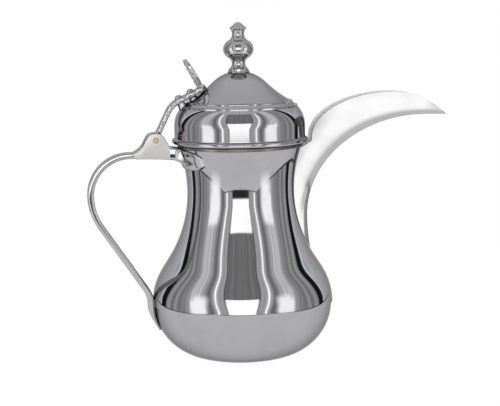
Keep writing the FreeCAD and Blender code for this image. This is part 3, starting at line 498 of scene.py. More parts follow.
def cut_window(mesh):
    """Open the long rounded window behind the spout."""
    low = (WINDOW_LOW - WINDOW_MARGIN) * MM
    high = (WINDOW_HIGH + WINDOW_MARGIN) * MM
    near = []
    for face in mesh.faces:
        middle = face.calc_center_median()
        if middle.x > 0 and abs(middle.y) < 3 * WINDOW_RADIUS * MM and low < middle.z < high:
            near.append(face)
    sides = []
    for centre, start in ((WINDOW_LOW, 180), (WINDOW_HIGH, 0)):
        for share in shares(8):
            angle = math.radians(start + 180 * share)
            out = Vector((0, math.cos(angle), math.sin(angle)))
            sides.append((Vector((0, 0, centre * MM)) + out * WINDOW_RADIUS * MM, out))
    for spot, out in sides:
        geometry = set(near)
        for face in near:
            geometry.update(face.edges)
            geometry.update(face.verts)
        cut = bmesh.ops.bisect_plane(mesh, geom=list(geometry), dist=1e-8, plane_co=spot, plane_no=out)
        near = [item for item in cut["geom"] if isinstance(item, bmesh.types.BMFace)]
    inside = []
    for face in near:
        middle = face.calc_center_median()
        if all((middle - spot).dot(out) < 0 for spot, out in sides):
            inside.append(face)
    bmesh.ops.delete(mesh, geom=inside, context="FACES")


def build_neck():
    """Upper body from the widest line of the belly through the waist to the mouth."""
    mesh = spun(BODY_PROFILE[SEAM:], closed=False)
    cut_window(mesh)
    bmesh.ops.solidify(mesh, geom=mesh.faces[:], thickness=WALL * MM)
    piece("neck_shell", mesh, "pot", MIRROR_STEEL, ["upper_body"])


# Lid


def lid_surface(inset, count, ringed):
    """Points of the lid from the top of the skirt to the seat of the finial, inset square to the surface."""
    shoulder_x = SKIRT_RADIUS - SHOULDER_CURVE
    crown_z = LID_BOTTOM + CROWN_HEIGHT - CROWN_CURVE
    fall = SKIRT_TOP - crown_z
    span = math.hypot(shoulder_x, fall)
    crown_span = CROWN_CURVE + LID_SWEEP
    shoulder_span = SHOULDER_CURVE + LID_SWEEP
    along = (crown_span**2 - shoulder_span**2 + span**2) / (2 * span)
    aside = math.sqrt(crown_span**2 - along**2)
    sweep = (
        (shoulder_x * along - fall * aside) / span,
        crown_z + (fall * along + shoulder_x * aside) / span,
    )
    shoulder_end = bearing((shoulder_x, SKIRT_TOP), sweep)
    crown_start = bearing((0, crown_z), sweep)
    crown_end = math.degrees(math.acos(SEAT_RADIUS / CROWN_CURVE))
    points = []
    for index in range(count + 1):
        angle = math.radians(shoulder_end * index / count)
        radius = SHOULDER_CURVE - inset
        for ring_inset in RING_INSETS if ringed else ():
            ring = SKIRT_RADIUS - ring_inset
            distance = SHOULDER_CURVE * (angle - math.acos((ring - shoulder_x) / SHOULDER_CURVE))
            if abs(distance) < RING_SPREAD:
                radius += RING_HEIGHT * (1 + math.cos(math.pi * distance / RING_SPREAD)) / 2
        points.append((shoulder_x + radius * math.cos(angle), SKIRT_TOP + radius * math.sin(angle)))
    points += arc(sweep, LID_SWEEP + inset, shoulder_end + 180, crown_start + 180, count // 4)[1:]
    points += arc((0, crown_z), CROWN_CURVE - inset, crown_start, crown_end, count // 3)[1:]
    return points


def build_lid():
    """Lid with a rolled flange, a skirt, two raised rings and a crown."""
    bead = (SKIRT_RADIUS + FLANGE_FLAT, LID_BOTTOM + FLANGE_BEAD)
    blend_centre = (SKIRT_RADIUS + FLANGE_BLEND, LID_BOTTOM + 2 * FLANGE_BEAD + FLANGE_BLEND)
    outer = [(SKIRT_RADIUS - WALL, LID_BOTTOM)]
    outer += arc(bead, FLANGE_BEAD, -90, 78, 24)
    outer += arc(blend_centre, FLANGE_BLEND, -110, -180, 8)
    skirt_low = (SKIRT_RADIUS, blend_centre[1] + SKIRT_EASE)
    skirt_high = (SKIRT_RADIUS, SKIRT_TOP - SKIRT_EASE)
    outer += line(skirt_low, skirt_high, 6)
    outer += lid_surface(0, 150, True)
    seat = outer[-1][1]
    inner = [(STUD_HOLE, seat), (STUD_HOLE, seat - WALL)]
    inner += lid_surface(WALL, 48, False)[::-1]
    mesh = spun(outer + inner)
    piece("lid_shell", mesh, "lid", MIRROR_STEEL, ["lid_dome"])


# Finial

FINIAL_STEM = 5.3
FINIAL_NECK = 4.8
FINIAL_BULB = 12.0
BULB_CURVE = 7.5
FOOT_STEP = 0.9
FOOT_BEAD = 0.65
FOOT_BEAD_SPOT = (SEAT_RADIUS - 0.6, 0.7)
CAP_EDGE = 0.5
CAP_EDGE_SHIFT = (-0.25, 0.45)
CAP_CURVE = 3.85
CAP_SHOULDER = (2.6, 38.7)

# Heights above the finial's seat
STEM_WAIST = 7.4
BULB_MIDDLE = 18.5
NECK_WAIST = 30.5
CAP_LOW = 34.6
CAP_MIDDLE = 35.9


def hollow_arc(bulb_centre, waist_radius, waist_height):
    """Centre and radius of a hollow that is upright at its waist and touches the bulb."""
    step = waist_radius - bulb_centre[0]
    fall = waist_height - bulb_centre[1]
    radius = (step**2 + fall**2 - BULB_CURVE**2) / (2 * (BULB_CURVE - step))
    return (waist_radius + radius, waist_height), radius


def build_finial():
    """Turned knob: a stepped foot, a hollow stem, a round bulb, a neck and a pointed cap."""
    seat = LID_BOTTOM + CROWN_HEIGHT - CROWN_CURVE + math.sqrt(CROWN_CURVE**2 - SEAT_RADIUS**2)
    bulb = (FINIAL_BULB - BULB_CURVE, seat + BULB_MIDDLE)
    stem, stem_curve = hollow_arc(bulb, FINIAL_STEM, seat + STEM_WAIST)
    neck, neck_curve = hollow_arc(bulb, FINIAL_NECK, seat + NECK_WAIST)
    stem_touch = bearing(bulb, stem)
    neck_touch = bearing(bulb, neck)
    foot_angle = math.degrees(math.acos((stem[0] - SEAT_RADIUS + FOOT_STEP) / stem_curve))
    cap_low = seat + CAP_LOW
    cap_angle = math.degrees(math.asin((cap_low - neck[1]) / neck_curve))
    outline = [(0, seat), (SEAT_RADIUS - FOOT_STEP / 3, seat)]
    outline += arc((FOOT_BEAD_SPOT[0], seat + FOOT_BEAD_SPOT[1]), FOOT_BEAD, -70, 90, 8)
    outline += arc(stem, stem_curve, 180 + foot_angle, 180 + stem_touch, 26)
    outline += arc(bulb, BULB_CURVE, stem_touch, neck_touch, 46)[1:]
    outline += arc(neck, neck_curve, 180 + neck_touch, 180 - cap_angle, 26)[1:]
    edge = outline[-1][0]
    outline += arc((edge + CAP_EDGE_SHIFT[0], cap_low + CAP_EDGE_SHIFT[1]), CAP_EDGE, -20, 45, 6)
    outline += [(CAP_SHOULDER[0], seat + CAP_SHOULDER[1])]
    outline += arc((0, seat + CAP_MIDDLE), CAP_CURVE, 42, 90, 8)
    mesh = spun(outline, closed=False, steps=96)
    piece("finial_knob", mesh, "lid", MIRROR_STEEL, ["finial"], 30)


# Spout

FLARE = math.radians(8.6)
KEEL_CORNER = (150.0, 112.0)
KEEL_SEMI = (96.0, 78.0)
KEEL_TIP = (169.8, 189.4)
KEEL_FLARE_DROP = 34.0
KEEL_FLARE_OUT = 3.4
ROOT_RADIUS = 4.8
CREST_RADIUS = 2.8
BEAK_THINNING = 1.3
BEAK_DIP = 0.03
RIM_FOOT = (MOUTH_RADIUS, 167.1)
RIM_SPRING = (57.0, 172.0)
RIM_RISE = 175.0
RIM_CREST = (122.0, 209.5)
RIM_FALL_CURVE = 66.9
SPOUT_SWELL = 0.42
DEPTH_STEP = 0.04
DEEPEST = 60.0


def rim_height(across):
    """Height of the spout's rim at a distance from the pot's axis."""
    if across < RIM_SPRING[0]:
        share = (across - RIM_FOOT[0]) / (RIM_SPRING[0] - RIM_FOOT[0])
        return RIM_FOOT[1] + (RIM_SPRING[1] - RIM_FOOT[1]) * share
    if across < RIM_CREST[0]:
        share = (RIM_CREST[0] - across) / (RIM_CREST[0] - RIM_SPRING[0])
        return RIM_RISE + (RIM_CREST[1] - RIM_RISE) * math.sqrt(max(1 - share**2, 0))
    drop = across - RIM_CREST[0]
    return RIM_CREST[1] - RIM_FALL_CURVE + math.sqrt(max(RIM_FALL_CURVE**2 - drop**2, 0))


def keel_line():
    """Points along the keel with their directions and keel radii, from inside the body to the tip."""
    stations = []
    upright = 22
    for index in range(upright):
        share = 1 - index / upright
        point = (
            KEEL_CORNER[0] - KEEL_SEMI[0] + KEEL_FLARE_OUT * share**2,
            KEEL_CORNER[1] - KEEL_FLARE_DROP * share,
        )
        slope = 2 * KEEL_FLARE_OUT * share / KEEL_FLARE_DROP
        stations.append((point, Vector((-slope, 0, 1)).normalized(), ROOT_RADIUS))
    bend = 110
    for index in range(bend + 1):
        angle = math.pi / 2 * index / bend
        point = (
            KEEL_CORNER[0] - KEEL_SEMI[0] * math.cos(angle),
            KEEL_CORNER[1] + KEEL_SEMI[1] * math.sin(angle),
        )
        heading = Vector((KEEL_SEMI[0] * math.sin(angle), 0, KEEL_SEMI[1] * math.cos(angle))).normalized()
        stations.append((point, heading, blend(ROOT_RADIUS, CREST_RADIUS, 2 * index / bend - 1)))
    beak = 30
    crest = (KEEL_CORNER[0], KEEL_CORNER[1] + KEEL_SEMI[1])
    for index in range(1, beak + 1):
        share = index / beak
        point = (
            crest[0] + (KEEL_TIP[0] - crest[0]) * share,
            crest[1] + (KEEL_TIP[1] - crest[1]) * share**2,
        )
        heading = Vector((1, 0, -BEAK_DIP * share)).normalized()
        stations.append((point, heading, CREST_RADIUS - BEAK_THINNING * share**2))
    return stations


def wall_half_width(depth, radius):
    """Half width of the channel at a depth above its keel."""
    turn = radius * (1 - math.sin(FLARE))
    if depth < turn:
        return math.sqrt(max(radius**2 - (radius - depth) ** 2, 0))
    return radius * math.cos(FLARE) + (depth - turn) * math.tan(FLARE)


def channel_depth(point, inward, radius):
    """Depth at which the wall of one section meets the rim or the body."""
    depth = 0.0
    while depth < DEEPEST:
        across = point[0] + inward.x * depth
        up = point[1] + inward.z * depth
        aside = wall_half_width(depth, radius)
        if up > rim_height(across):
            break
        if up < MOUTH_HEIGHT and math.hypot(across, aside) < body_radius(up) - 0.5 * WALL:
            break
        depth += DEPTH_STEP
    return max(depth, DEPTH_STEP)


def channel_section(point, heading, radius):
    """Points of one section, from one rim round the keel to the other."""
    inward = Vector((-heading.z, 0, heading.x))
    limit = channel_depth(point, inward, radius)
    widest = wall_half_width(limit, radius)
    half = [(widest * (share**2) ** SPOUT_SWELL, limit * share**2) for share in shares(26)]
    whole = [(-aside, depth) for aside, depth in reversed(half[1:])] + half
    keel = Vector((point[0], 0, point[1]))
    return [keel + inward * depth + Vector((0, aside, 0)) for aside, depth in whole]


def build_spout():
    """Open crescent channel of sheet, soldered to the body."""
    stations = [channel_section(*station) for station in keel_line()]
    mesh = swept(stations, closed=False)
    keel_face = min(mesh.faces, key=lambda face: face.calc_center_median().z)
    if keel_face.normal.x < 0:
        bmesh.ops.reverse_faces(mesh, faces=mesh.faces[:])
    bmesh.ops.solidify(mesh, geom=mesh.faces[:], thickness=WALL * MM)
    piece("spout_channel", mesh, "pot", SOFT_STEEL, ["spout"], 50)


# Handle

HANDLE_START = (-79.4, 164.5)
HANDLE_BEND = 31.0
HANDLE_SWEEP = 45.0
HANDLE_REACH = 119.8
HANDLE_HALF = (5.5, 2.5)
HANDLE_ROUND = 1.8
FOOT_BEND = 26.0
FOOT_SINK = 0.4
FOOT_SWEEP = 27.0
FOOT_TIP_HALF = 0.7
FOOT_NARROWING = 0.75

# Largest rounding of a section, as a share of its half size
ROUNDEST = 0.98


def rounded_loop(half_width, half_depth, corner, count=5):
    """Closed loop of a rounded oblong, as pairs across and up."""
    corner = min(corner, half_width * ROUNDEST, half_depth * ROUNDEST)
    points = []
    for start, sign_across, sign_up in ((0, 1, 1), (90, -1, 1), (180, -1, -1), (270, 1, -1)):
        centre = (sign_across * (half_width - corner), sign_up * (half_depth - corner))
        points += arc(centre, corner, start, start + 90, count)
    return points


def path_frames(path):
    """Points of a path in the XZ plane, each with its direction."""
    frames = []
    for index, point in enumerate(path):
        before = path[max(index - 1, 0)]
        after = path[min(index + 1, len(path) - 1)]
        frames.append((point, Vector((after[0] - before[0], 0, after[1] - before[1])).normalized()))
    return frames


def loop_at(point, heading, loop):
    """A section loop put square to a path: across runs along Y, up runs to the left of the path."""
    left = Vector((-heading.z, 0, heading.x))
    spot = Vector((point[0], 0, point[1]))
    return [spot + left * up + Vector((0, across, 0)) for across, up in loop]


def build_handle():
    """Strap handle from the bracket round the loop and down onto the belly, where it thins out."""
    bend_centre = (HANDLE_BEND - HANDLE_REACH, HANDLE_START[1] - HANDLE_BEND)
    loop_centre = (HANDLE_SWEEP - HANDLE_REACH, bend_centre[1])
    foot_radius = BELLY_HEIGHT + HANDLE_HALF[1] - FOOT_SINK
    heel_centre = (-FLAT_RADIUS - foot_radius - FOOT_BEND, BELLY_HEIGHT)
    run = (heel_centre[0] - loop_centre[0], heel_centre[1] - loop_centre[1])
    lean = math.degrees(
        math.atan2(run[1], run[0]) - math.acos((HANDLE_SWEEP + FOOT_BEND) / math.hypot(*run))
    )
    lean_up = lean % 360
    path = line(HANDLE_START, (bend_centre[0], HANDLE_START[1]), 4)
    path += arc(bend_centre, HANDLE_BEND, 90, 180, 32)[1:]
    path += arc(loop_centre, HANDLE_SWEEP, 180, lean_up, 20)[1:]
    heel = arc(heel_centre, FOOT_BEND, lean_up - 180, 0, 16)
    path += line(path[-1], heel[0], 22)[1:] + heel[1:]
    shank = len(path)
    foot = []
    foot_steps = 22
    for index in range(1, foot_steps + 1):
        share = index / foot_steps
        angle = math.radians(180 + FOOT_SWEEP * share)
        half_depth = blend(HANDLE_HALF[1], FOOT_TIP_HALF, share)
        radius = BELLY_HEIGHT - FOOT_SINK + half_depth
        foot.append((-FLAT_RADIUS + radius * math.cos(angle), BELLY_HEIGHT + radius * math.sin(angle)))
    stations = []
    for index, (point, heading) in enumerate(path_frames(path + foot)):
        share = max(index - shank + 1, 0) / foot_steps
        half_depth = blend(HANDLE_HALF[1], FOOT_TIP_HALF, share)
        half_width = HANDLE_HALF[0] * math.sqrt(max(1 - FOOT_NARROWING * share**6, 0))
        stations.append(loop_at(point, heading, rounded_loop(half_width, half_depth, HANDLE_ROUND)))
    mesh = swept(stations)
    piece("handle_strap", mesh, "pot", SOFT_STEEL, ["handle_loop"], 60)


# Hinge saddle and bracket

SADDLE_MIDDLE = 160.6
SADDLE_HALF_HEIGHT = 8.8
SADDLE_REACH = 33.0
SADDLE_THICKNESS = 3.2
SADDLE_SINK = 0.4
LEAF_POWER = 4
LEAF_LEAST = 0.0004
LEAF_EDGE_POWERS = (6, 18)
TRUMPET_ROOT = -43.0
TRUMPET_TOP = 170.6
TRUMPET_POWER = 2.2
TRUMPET_WIDENING = 9.0
TRUMPET_DROP = 8.2
TRUMPET_DIP = 3.0
TRUMPET_INSET = 0.2
TRUMPET_OVERLAP = 0.6
TRUMPET_CORNER = (2.2, 3.4)
BRACKET_FRONT = -57.0
BRACKET_LOW = 160.5
BRACKET_SHOULDER = 170.8
BRACKET_HALF = 8.0
BRACKET_UNDERSIDE = ((-84.0, 162.0), (-78.0, 161.9), (-70.0, 161.6), (-62.0, 161.1))
SLOT_HALF = 4.9
SLOT_FLOOR = 171.6
CHEEK_HALF = (7.2, 5.4)
CHEEK_SWEEP = (12, 172)
CHEEK_EASE = 1.6
TAIL_CENTRE = (-90.5, 181.0)
TAIL_CURVE = 15.2
TAIL_SWEEP = (-20, -78)
LEAST_STEP = 0.01
SAME_PLACE = 1e-6


def saddle_leaf():
    """Leaf-shaped plate with rounded edges that lies on the neck."""
    rows = []
    for column in shares(64):
        reach = math.sin(math.pi / 2 * (-1 + 2 * column))
        half_height = SADDLE_HALF_HEIGHT * math.sqrt(max(1 - abs(reach) ** LEAF_POWER, LEAF_LEAST))
        aside = SADDLE_REACH * reach
        row = []
        for step in shares(24):
            rise = math.sin(math.pi / 2 * (-1 + 2 * step))
            up = SADDLE_MIDDLE + half_height * rise
            crown = 1 - max(abs(rise) ** LEAF_EDGE_POWERS[0], abs(reach) ** LEAF_EDGE_POWERS[1])
            out = body_radius(up) - SADDLE_SINK + (SADDLE_SINK + SADDLE_THICKNESS) * math.sqrt(max(crown, 0))
            row.append((-math.sqrt(max(out**2 - aside**2, 0)), aside, up))
        rows.append(row)
    return swept(rows, closed=False)


def saddle_neck():
    """Trumpet from the leaf out to the bracket."""
    stations = []
    for share in shares(26):
        across = TRUMPET_ROOT + (BRACKET_FRONT - TRUMPET_OVERLAP - TRUMPET_ROOT) * share
        flare = (1 - share) ** TRUMPET_POWER
        half_width = BRACKET_HALF - TRUMPET_INSET + TRUMPET_WIDENING * flare
        low = BRACKET_LOW - TRUMPET_DROP * flare
        high = TRUMPET_TOP - TRUMPET_DIP * flare
        half_height = (high - low) / 2
        loop = rounded_loop(half_width, half_height, TRUMPET_CORNER[0] + TRUMPET_CORNER[1] * flare, 6)
        stations.append([(across, aside, (high + low) / 2 + up) for aside, up in loop])
    return swept(stations)


def build_saddle():
    """Saddle: leaf and trumpet neck in one casting."""
    mesh = saddle_leaf()
    leaf_face = max(mesh.faces, key=lambda face: -face.calc_center_median().x)
    if leaf_face.normal.x > 0:
        bmesh.ops.reverse_faces(mesh, faces=mesh.faces[:])
    add_mesh(mesh, saddle_neck())
    piece("saddle_plate", mesh, "pot", SOFT_STEEL, ["hinge_saddle"], 60)


def bracket_outline(top):
    """Side outline of the bracket, with its cheeks, or cut level at a height."""
    front = [(BRACKET_FRONT, BRACKET_LOW), (BRACKET_FRONT, BRACKET_SHOULDER)]
    cheek = [
        (PIN[0] + CHEEK_HALF[0] * across, PIN[1] + CHEEK_HALF[1] * up)
        for across, up in arc((0, 0), 1.0, *CHEEK_SWEEP, 28)
    ]
    tail = arc(TAIL_CENTRE, TAIL_CURVE, *TAIL_SWEEP, 16)
    outline = front + cheek + tail + list(BRACKET_UNDERSIDE)
    if top:
        outline = [(across, min(up, top)) for across, up in outline]
    return outline


def build_bracket():
    """Forked bracket: two cheeks hold the pin, with a block between them under the strap's barrel."""
    mesh = None
    for low, high in ((-BRACKET_HALF, -SLOT_HALF), (SLOT_HALF, BRACKET_HALF)):
        cheek = slab(bracket_outline(None), low, high)
        outside = BRACKET_HALF * MM
        rim = [
            edge
            for edge in cheek.edges
            if all(abs(abs(vert.co.y) - outside) < SAME_PLACE for vert in edge.verts)
            and not all(abs(vert.co.x - BRACKET_FRONT * MM) < SAME_PLACE for vert in edge.verts)
        ]
        ease_edges(cheek, rim, CHEEK_EASE, 5)
        if mesh:
            add_mesh(mesh, cheek)
        else:
            mesh = cheek
    middle = []
    for point in bracket_outline(SLOT_FLOOR):
        if not middle or math.dist(point, middle[-1]) > LEAST_STEP:
            middle.append(point)
    add_mesh(mesh, slab(middle, -SLOT_HALF, SLOT_HALF))
    piece("bracket_fork", mesh, "pot", PALE_STEEL, ["hinge_bracket"], 35)


# Strap over the lid

STRAP_RISE = 63.4
STRAP_TILT = 26.0
STRAP_END = (-26.68, 217.12)
STRAP_BEND = 18.0
STRAP_HALF_DEPTH = 2.0
STRAP_FOOT_HALF_DEPTH = 1.9
STRAP_START = 3.9
STRAP_HALF_WIDTHS = (3.9, 5.4)
STRAP_WIDENING = (0.2, 0.6)
STRAP_TAIL = 0.1
STRAP_TAIL_LEAST = 0.25
STRAP_CROWN = 0.5
STRAP_ROUND = 1.1
SCALLOPS = 7
SCALLOP_DEPTH = 0.6
RIVET_INSETS = (13.0, 23.4)
POST_LENGTHS = (3.6, 6.6)
POST_RADII = (4.1, 3.0)
POST_SINK = 0.4


def direction(angle):
    """Unit pair across and up at an angle."""
    return math.cos(math.radians(angle)), math.sin(math.radians(angle))


def strap_line():
    """Middle line of the strap from the barrel over the bend to its end on the lid."""
    rise = direction(STRAP_RISE)
    tilt = direction(STRAP_TILT)
    away = (STRAP_END[0] - PIN[0], STRAP_END[1] - PIN[1])
    run = (away[1] * tilt[0] - away[0] * tilt[1]) / math.sin(math.radians(STRAP_RISE - STRAP_TILT))
    knee = ahead(PIN, run, rise)
    cut = STRAP_BEND * math.tan(math.radians((STRAP_RISE - STRAP_TILT) / 2))
    low = ahead(knee, -cut, rise)
    high = ahead(knee, cut, tilt)
    centre = ahead(low, STRAP_BEND, (rise[1], -rise[0]))
    path = line(ahead(PIN, STRAP_START, rise), low, 44)
    path += arc(centre, STRAP_BEND, STRAP_RISE + 90, STRAP_TILT + 90, 30)[1:]
    return path + line(high, STRAP_END, 52)[1:]


def strap_half_width(share):
    """Half width along the strap: narrow at the barrel, a leaf past the bend, with scalloped edges."""
    begins, ends = STRAP_WIDENING
    base = blend(*STRAP_HALF_WIDTHS, (share - begins) / (ends - begins))
    past = max(share - (1 - STRAP_TAIL), 0) / STRAP_TAIL
    tail = math.sqrt(max(1 - past**2, 0))
    scallop = SCALLOP_DEPTH * (1 - math.cos(2 * math.pi * SCALLOPS * share)) / 2
    return (base + scallop) * max(tail, STRAP_TAIL_LEAST)


def on_strap(inset, lift):
    """Point at a distance from the strap's end, lifted off its upper face."""
    tilt = direction(STRAP_TILT)
    return ahead(ahead(STRAP_END, -inset, tilt), STRAP_HALF_DEPTH + lift, (-tilt[1], tilt[0]))


def tilted(spot):
    """Matrix that stands an upright shape on the strap at a point."""
    return Matrix.Translation((spot[0] * MM, 0, spot[1] * MM)) @ Matrix.Rotation(
        -math.radians(STRAP_TILT), 4, "Y"
    )


def barrel():
    """Ring round the pin at the foot of the strap."""
    half = BARREL_WIDTH / 2
    corner = BARREL_RADIUS - BARREL_EASE
    outline = [(BARREL_BORE, -half), (corner, -half)]
    outline += arc((corner, -half + BARREL_EASE), BARREL_EASE, -90, 0, 4)
    outline += arc((corner, half - BARREL_EASE), BARREL_EASE, 0, 90, 4)
    outline += [(BARREL_BORE, half)]
    mesh = spun(outline, steps=64)
    bmesh.ops.transform(
        mesh,
        matrix=Matrix.Translation((PIN[0] * MM, 0, PIN[1] * MM)) @ Matrix.Rotation(math.pi / 2, 4, "X"),
        verts=mesh.verts[:],
    )
    return mesh


def build_strap():
    """Strap with scalloped edges and a raised middle, its barrel and two posts under the rivets."""
    frames = path_frames(strap_line())
    stations = []
    for index, (point, heading) in enumerate(frames):
        share = index / (len(frames) - 1)
        half_width = strap_half_width(share)
        half_depth = blend(STRAP_FOOT_HALF_DEPTH, STRAP_HALF_DEPTH, share)
        loop = []
        for across, up in rounded_loop(half_width, half_depth, STRAP_ROUND, 4):
            crown = STRAP_CROWN * (1 - abs(across) / half_width) if up > 0 else 0.0
            loop.append((across, up + crown - STRAP_CROWN / 2))
        stations.append(loop_at(point, heading, loop))
    mesh = swept(stations)
    add_mesh(mesh, barrel())
    for inset, length in zip(RIVET_INSETS, POST_LENGTHS):
        post = bmesh.new()
        bmesh.ops.create_cone(
            post,
            cap_ends=True,
            segments=40,
            radius1=POST_RADII[0] * MM,
            radius2=POST_RADII[1] * MM,
            depth=length * MM,
            matrix=tilted(on_strap(inset, -2 * STRAP_HALF_DEPTH + POST_SINK - length / 2)),
        )
        add_mesh(mesh, post)
    piece("lid_strap", mesh, "lid", CAST_STEEL, ["hinge_strap"], 50)


# Thumb lever

LEVER_LENGTH = 25.0
LEVER_HALF = 7.5
LEVER_FOOT = 4.4
LEVER_THICKNESS = 3.8
LEVER_TAPER = (1.15, 0.8)
LEVER_BOW = 1.4
LEVER_ROUND = 0.9
LEVER_LEAST = 0.4
LEVER_INSET = 4.0
LEVER_SINK = 0.6
LEVER_HEAD = 0.7
LEVER_SWELL = 0.55
LEVER_CROWDING = 1.6
BEAD_RADIUS = 1.3
BEAD_SINK = 0.95
BEAD_INSET = 1.4
BORDER_BEADS = (0.2, 0.16, 5)
MIDDLE_BEADS = (0.32, 0.2, 3)


def lever_half_width(share):
    """Half width up the lever: a narrow foot that swells to a round head."""
    if share > LEVER_HEAD:
        return LEVER_HALF * math.sqrt(max(1 - ((share - LEVER_HEAD) / (1 - LEVER_HEAD)) ** 2, 0))
    return blend(LEVER_FOOT, LEVER_HALF, share / LEVER_SWELL)


def lever_half_depth(share):
    """Half thickness up the lever."""
    return LEVER_THICKNESS / 2 * blend(*LEVER_TAPER, share)


def bead_places():
    """Places of the beads, as a share of the lever's length and a side: the border, then the middle row."""
    first, step, count = BORDER_BEADS
    places = [(first + step * index, side) for index in range(count) for side in (-1, 1)]
    first, step, count = MIDDLE_BEADS
    return places + [(first + step * index, 0) for index in range(count)]


def build_lever():
    """Thumb lever: a bowed plate with a beaded border and a row of beads down the middle."""
    stations = []
    for step in shares(48):
        share = 1 - (1 - step) ** LEVER_CROWDING
        half_width = max(lever_half_width(share), LEVER_LEAST)
        bow = LEVER_BOW * share**2
        loop = rounded_loop(half_width, lever_half_depth(share), LEVER_ROUND, 4)
        stations.append([(up - bow, across, LEVER_LENGTH * share) for across, up in loop])
    mesh = swept(stations)
    for share, side in bead_places():
        aside = side * max(lever_half_width(share) - BEAD_INSET, 0)
        across = -lever_half_depth(share) - LEVER_BOW * share**2 + BEAD_SINK
        bmesh.ops.create_icosphere(
            mesh,
            subdivisions=3,
            radius=BEAD_RADIUS * MM,
            matrix=Matrix.Translation((across * MM, aside * MM, LEVER_LENGTH * share * MM)),
        )
    bmesh.ops.transform(mesh, matrix=tilted(on_strap(LEVER_INSET, -LEVER_SINK)), verts=mesh.verts[:])
    piece("thumb_tongue", mesh, "lid", CAST_STEEL, ["thumb_lever"], 60)


# Nodes that keep their own shape


def finish_nodes():
    """Give the remaining solids their metals."""
    for material, names in (
        # The mouth ring is painted dark as the shadow in the gap under the lid
        (GAP_SHADE_STEEL, ("mouth_ring",)),
        (CAST_STEEL, ("strap_rivets",)),
        (
            SATIN_STEEL,
            ("base_disc", "spout_strainer", "lid_collar", "finial_stud", "finial_washer", "finial_nut"),
        ),
        (WORN_BRASS, ("hinge_pin",)),
    ):
        for name in names:
            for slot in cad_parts[name].material_slots:
                slot.material = material


# Studio

VIEW_TURN = -10.0
CAMERA_SPOT = (-209.9, -1232.3, 300.0)
CAMERA_AIM = (7.15, -1.26, 123.08)
CAMERA_ROLL = -0.94
CAMERA_LENS = 113.6
SENSOR_WIDTH = 36.0


def add_camera():
    """Camera at the photograph's viewing angle."""
    camera = bpy.data.objects.new("camera", bpy.data.cameras.new("camera"))
    camera.data.sensor_width = SENSOR_WIDTH
    camera.data.lens = CAMERA_LENS
    spot = Vector(CAMERA_SPOT) * MM
    aim = Vector(CAMERA_AIM) * MM
    facing = (aim - spot).to_track_quat("-Z", "Y").to_matrix().to_4x4()
    roll = Matrix.Rotation(math.radians(CAMERA_ROLL), 4, "Z")
    camera.matrix_world = Matrix.Translation(spot) @ facing @ roll
    bpy.context.scene.collection.objects.link(camera)
    bpy.context.scene.camera = camera


FLOOR_FRONT = -600.0
FLOOR_BACK = 420.0
FLOOR_SIDE = 390.0
FLOOR_COLOUR = (0.8, 0.79, 0.77, 1)
FLOOR_SHINE = 0.1
FLOOR_GLOW = 1.12
# Share of glow in the floor, and what is added to it for the camera and the metal
GLOW_SHARE = 0.35
GLOW_ADDED = 0.5
BORDER_HEIGHT = 7.0
BORDER_COLOUR = (0.02, 0.02, 0.02, 1)
DULL_ROUGHNESS = 0.9


def from_camera(tree):
    """1 for rays that come straight from the camera."""
    return node(tree, "ShaderNodeLightPath").outputs["Is Camera Ray"]


def in_metal_or_glass(tree):
    """1 for rays that metal throws back or glass lets through."""
    path = node(tree, "ShaderNodeLightPath")
    return maths(tree, "MAXIMUM", path.outputs["Is Glossy Ray"], path.outputs["Is Transmission Ray"])


def dull_material(name, colour):
    """Plain rough material."""
    material, tree = new_material(name)
    shader = tree.nodes["Principled BSDF"]
    shader.inputs["Base Color"].default_value = colour
    shader.inputs["Roughness"].default_value = DULL_ROUGHNESS
    return material


def floor_material():
    """Pale paper that takes the pot's shadow and is whiter to the camera and in the metal."""
    material = dull_material("pale_floor", FLOOR_COLOUR)
    tree = material.node_tree
    paper = tree.nodes["Principled BSDF"]
    paper.inputs["Specular IOR Level"].default_value = FLOOR_SHINE
    white = node(tree, "ShaderNodeEmission", Strength=FLOOR_GLOW)
    seen = maths(tree, "MAXIMUM", from_camera(tree), in_metal_or_glass(tree))
    share = maths(tree, "MULTIPLY_ADD", seen, GLOW_ADDED, GLOW_SHARE)
    show_mix(tree, share, paper.outputs["BSDF"], white.outputs["Emission"], "Material Output")
    return material


def oblong(half_across, half_along):
    """Flat oblong round the origin."""
    mesh = bmesh.new()
    bmesh.ops.create_grid(mesh, x_segments=1, y_segments=1, size=1)
    bmesh.ops.scale(mesh, vec=(half_across * MM, half_along * MM, 1), verts=mesh.verts[:])
    return mesh


def square_to_view(mesh):
    """Turn a mesh about the pot's axis until its front is towards the lens."""
    turn = Matrix.Rotation(math.radians(VIEW_TURN), 3, "Z")
    bmesh.ops.rotate(mesh, cent=(0, 0, 0), matrix=turn, verts=mesh.verts[:])


def add_floor():
    """Pale sheet under the pot."""
    mesh = oblong(FLOOR_SIDE, (FLOOR_BACK - FLOOR_FRONT) / 2)
    bmesh.ops.translate(mesh, vec=(0, (FLOOR_BACK + FLOOR_FRONT) / 2 * MM, 0), verts=mesh.verts[:])
    square_to_view(mesh)
    floor = placed("floor", mesh, floor_material())


def add_border():
    """Low dark border along the front and sides of the sheet, hidden from the camera."""
    mesh = bmesh.new()
    corners = (
        (-FLOOR_SIDE, FLOOR_BACK),
        (-FLOOR_SIDE, FLOOR_FRONT),
        (FLOOR_SIDE, FLOOR_FRONT),
        (FLOOR_SIDE, FLOOR_BACK),
    )
    spots = [mesh.verts.new((across * MM, along * MM, 0)) for across, along in corners]
    edges = chain_edges(mesh, spots, False)
    raised = fresh_verts(bmesh.ops.extrude_edge_only(mesh, edges=edges))
    bmesh.ops.translate(mesh, vec=(0, 0, BORDER_HEIGHT * MM), verts=raised)
    square_to_view(mesh)
    border = placed("floor_border", mesh, dull_material("dark_border", BORDER_COLOUR))
    border.visible_camera = False


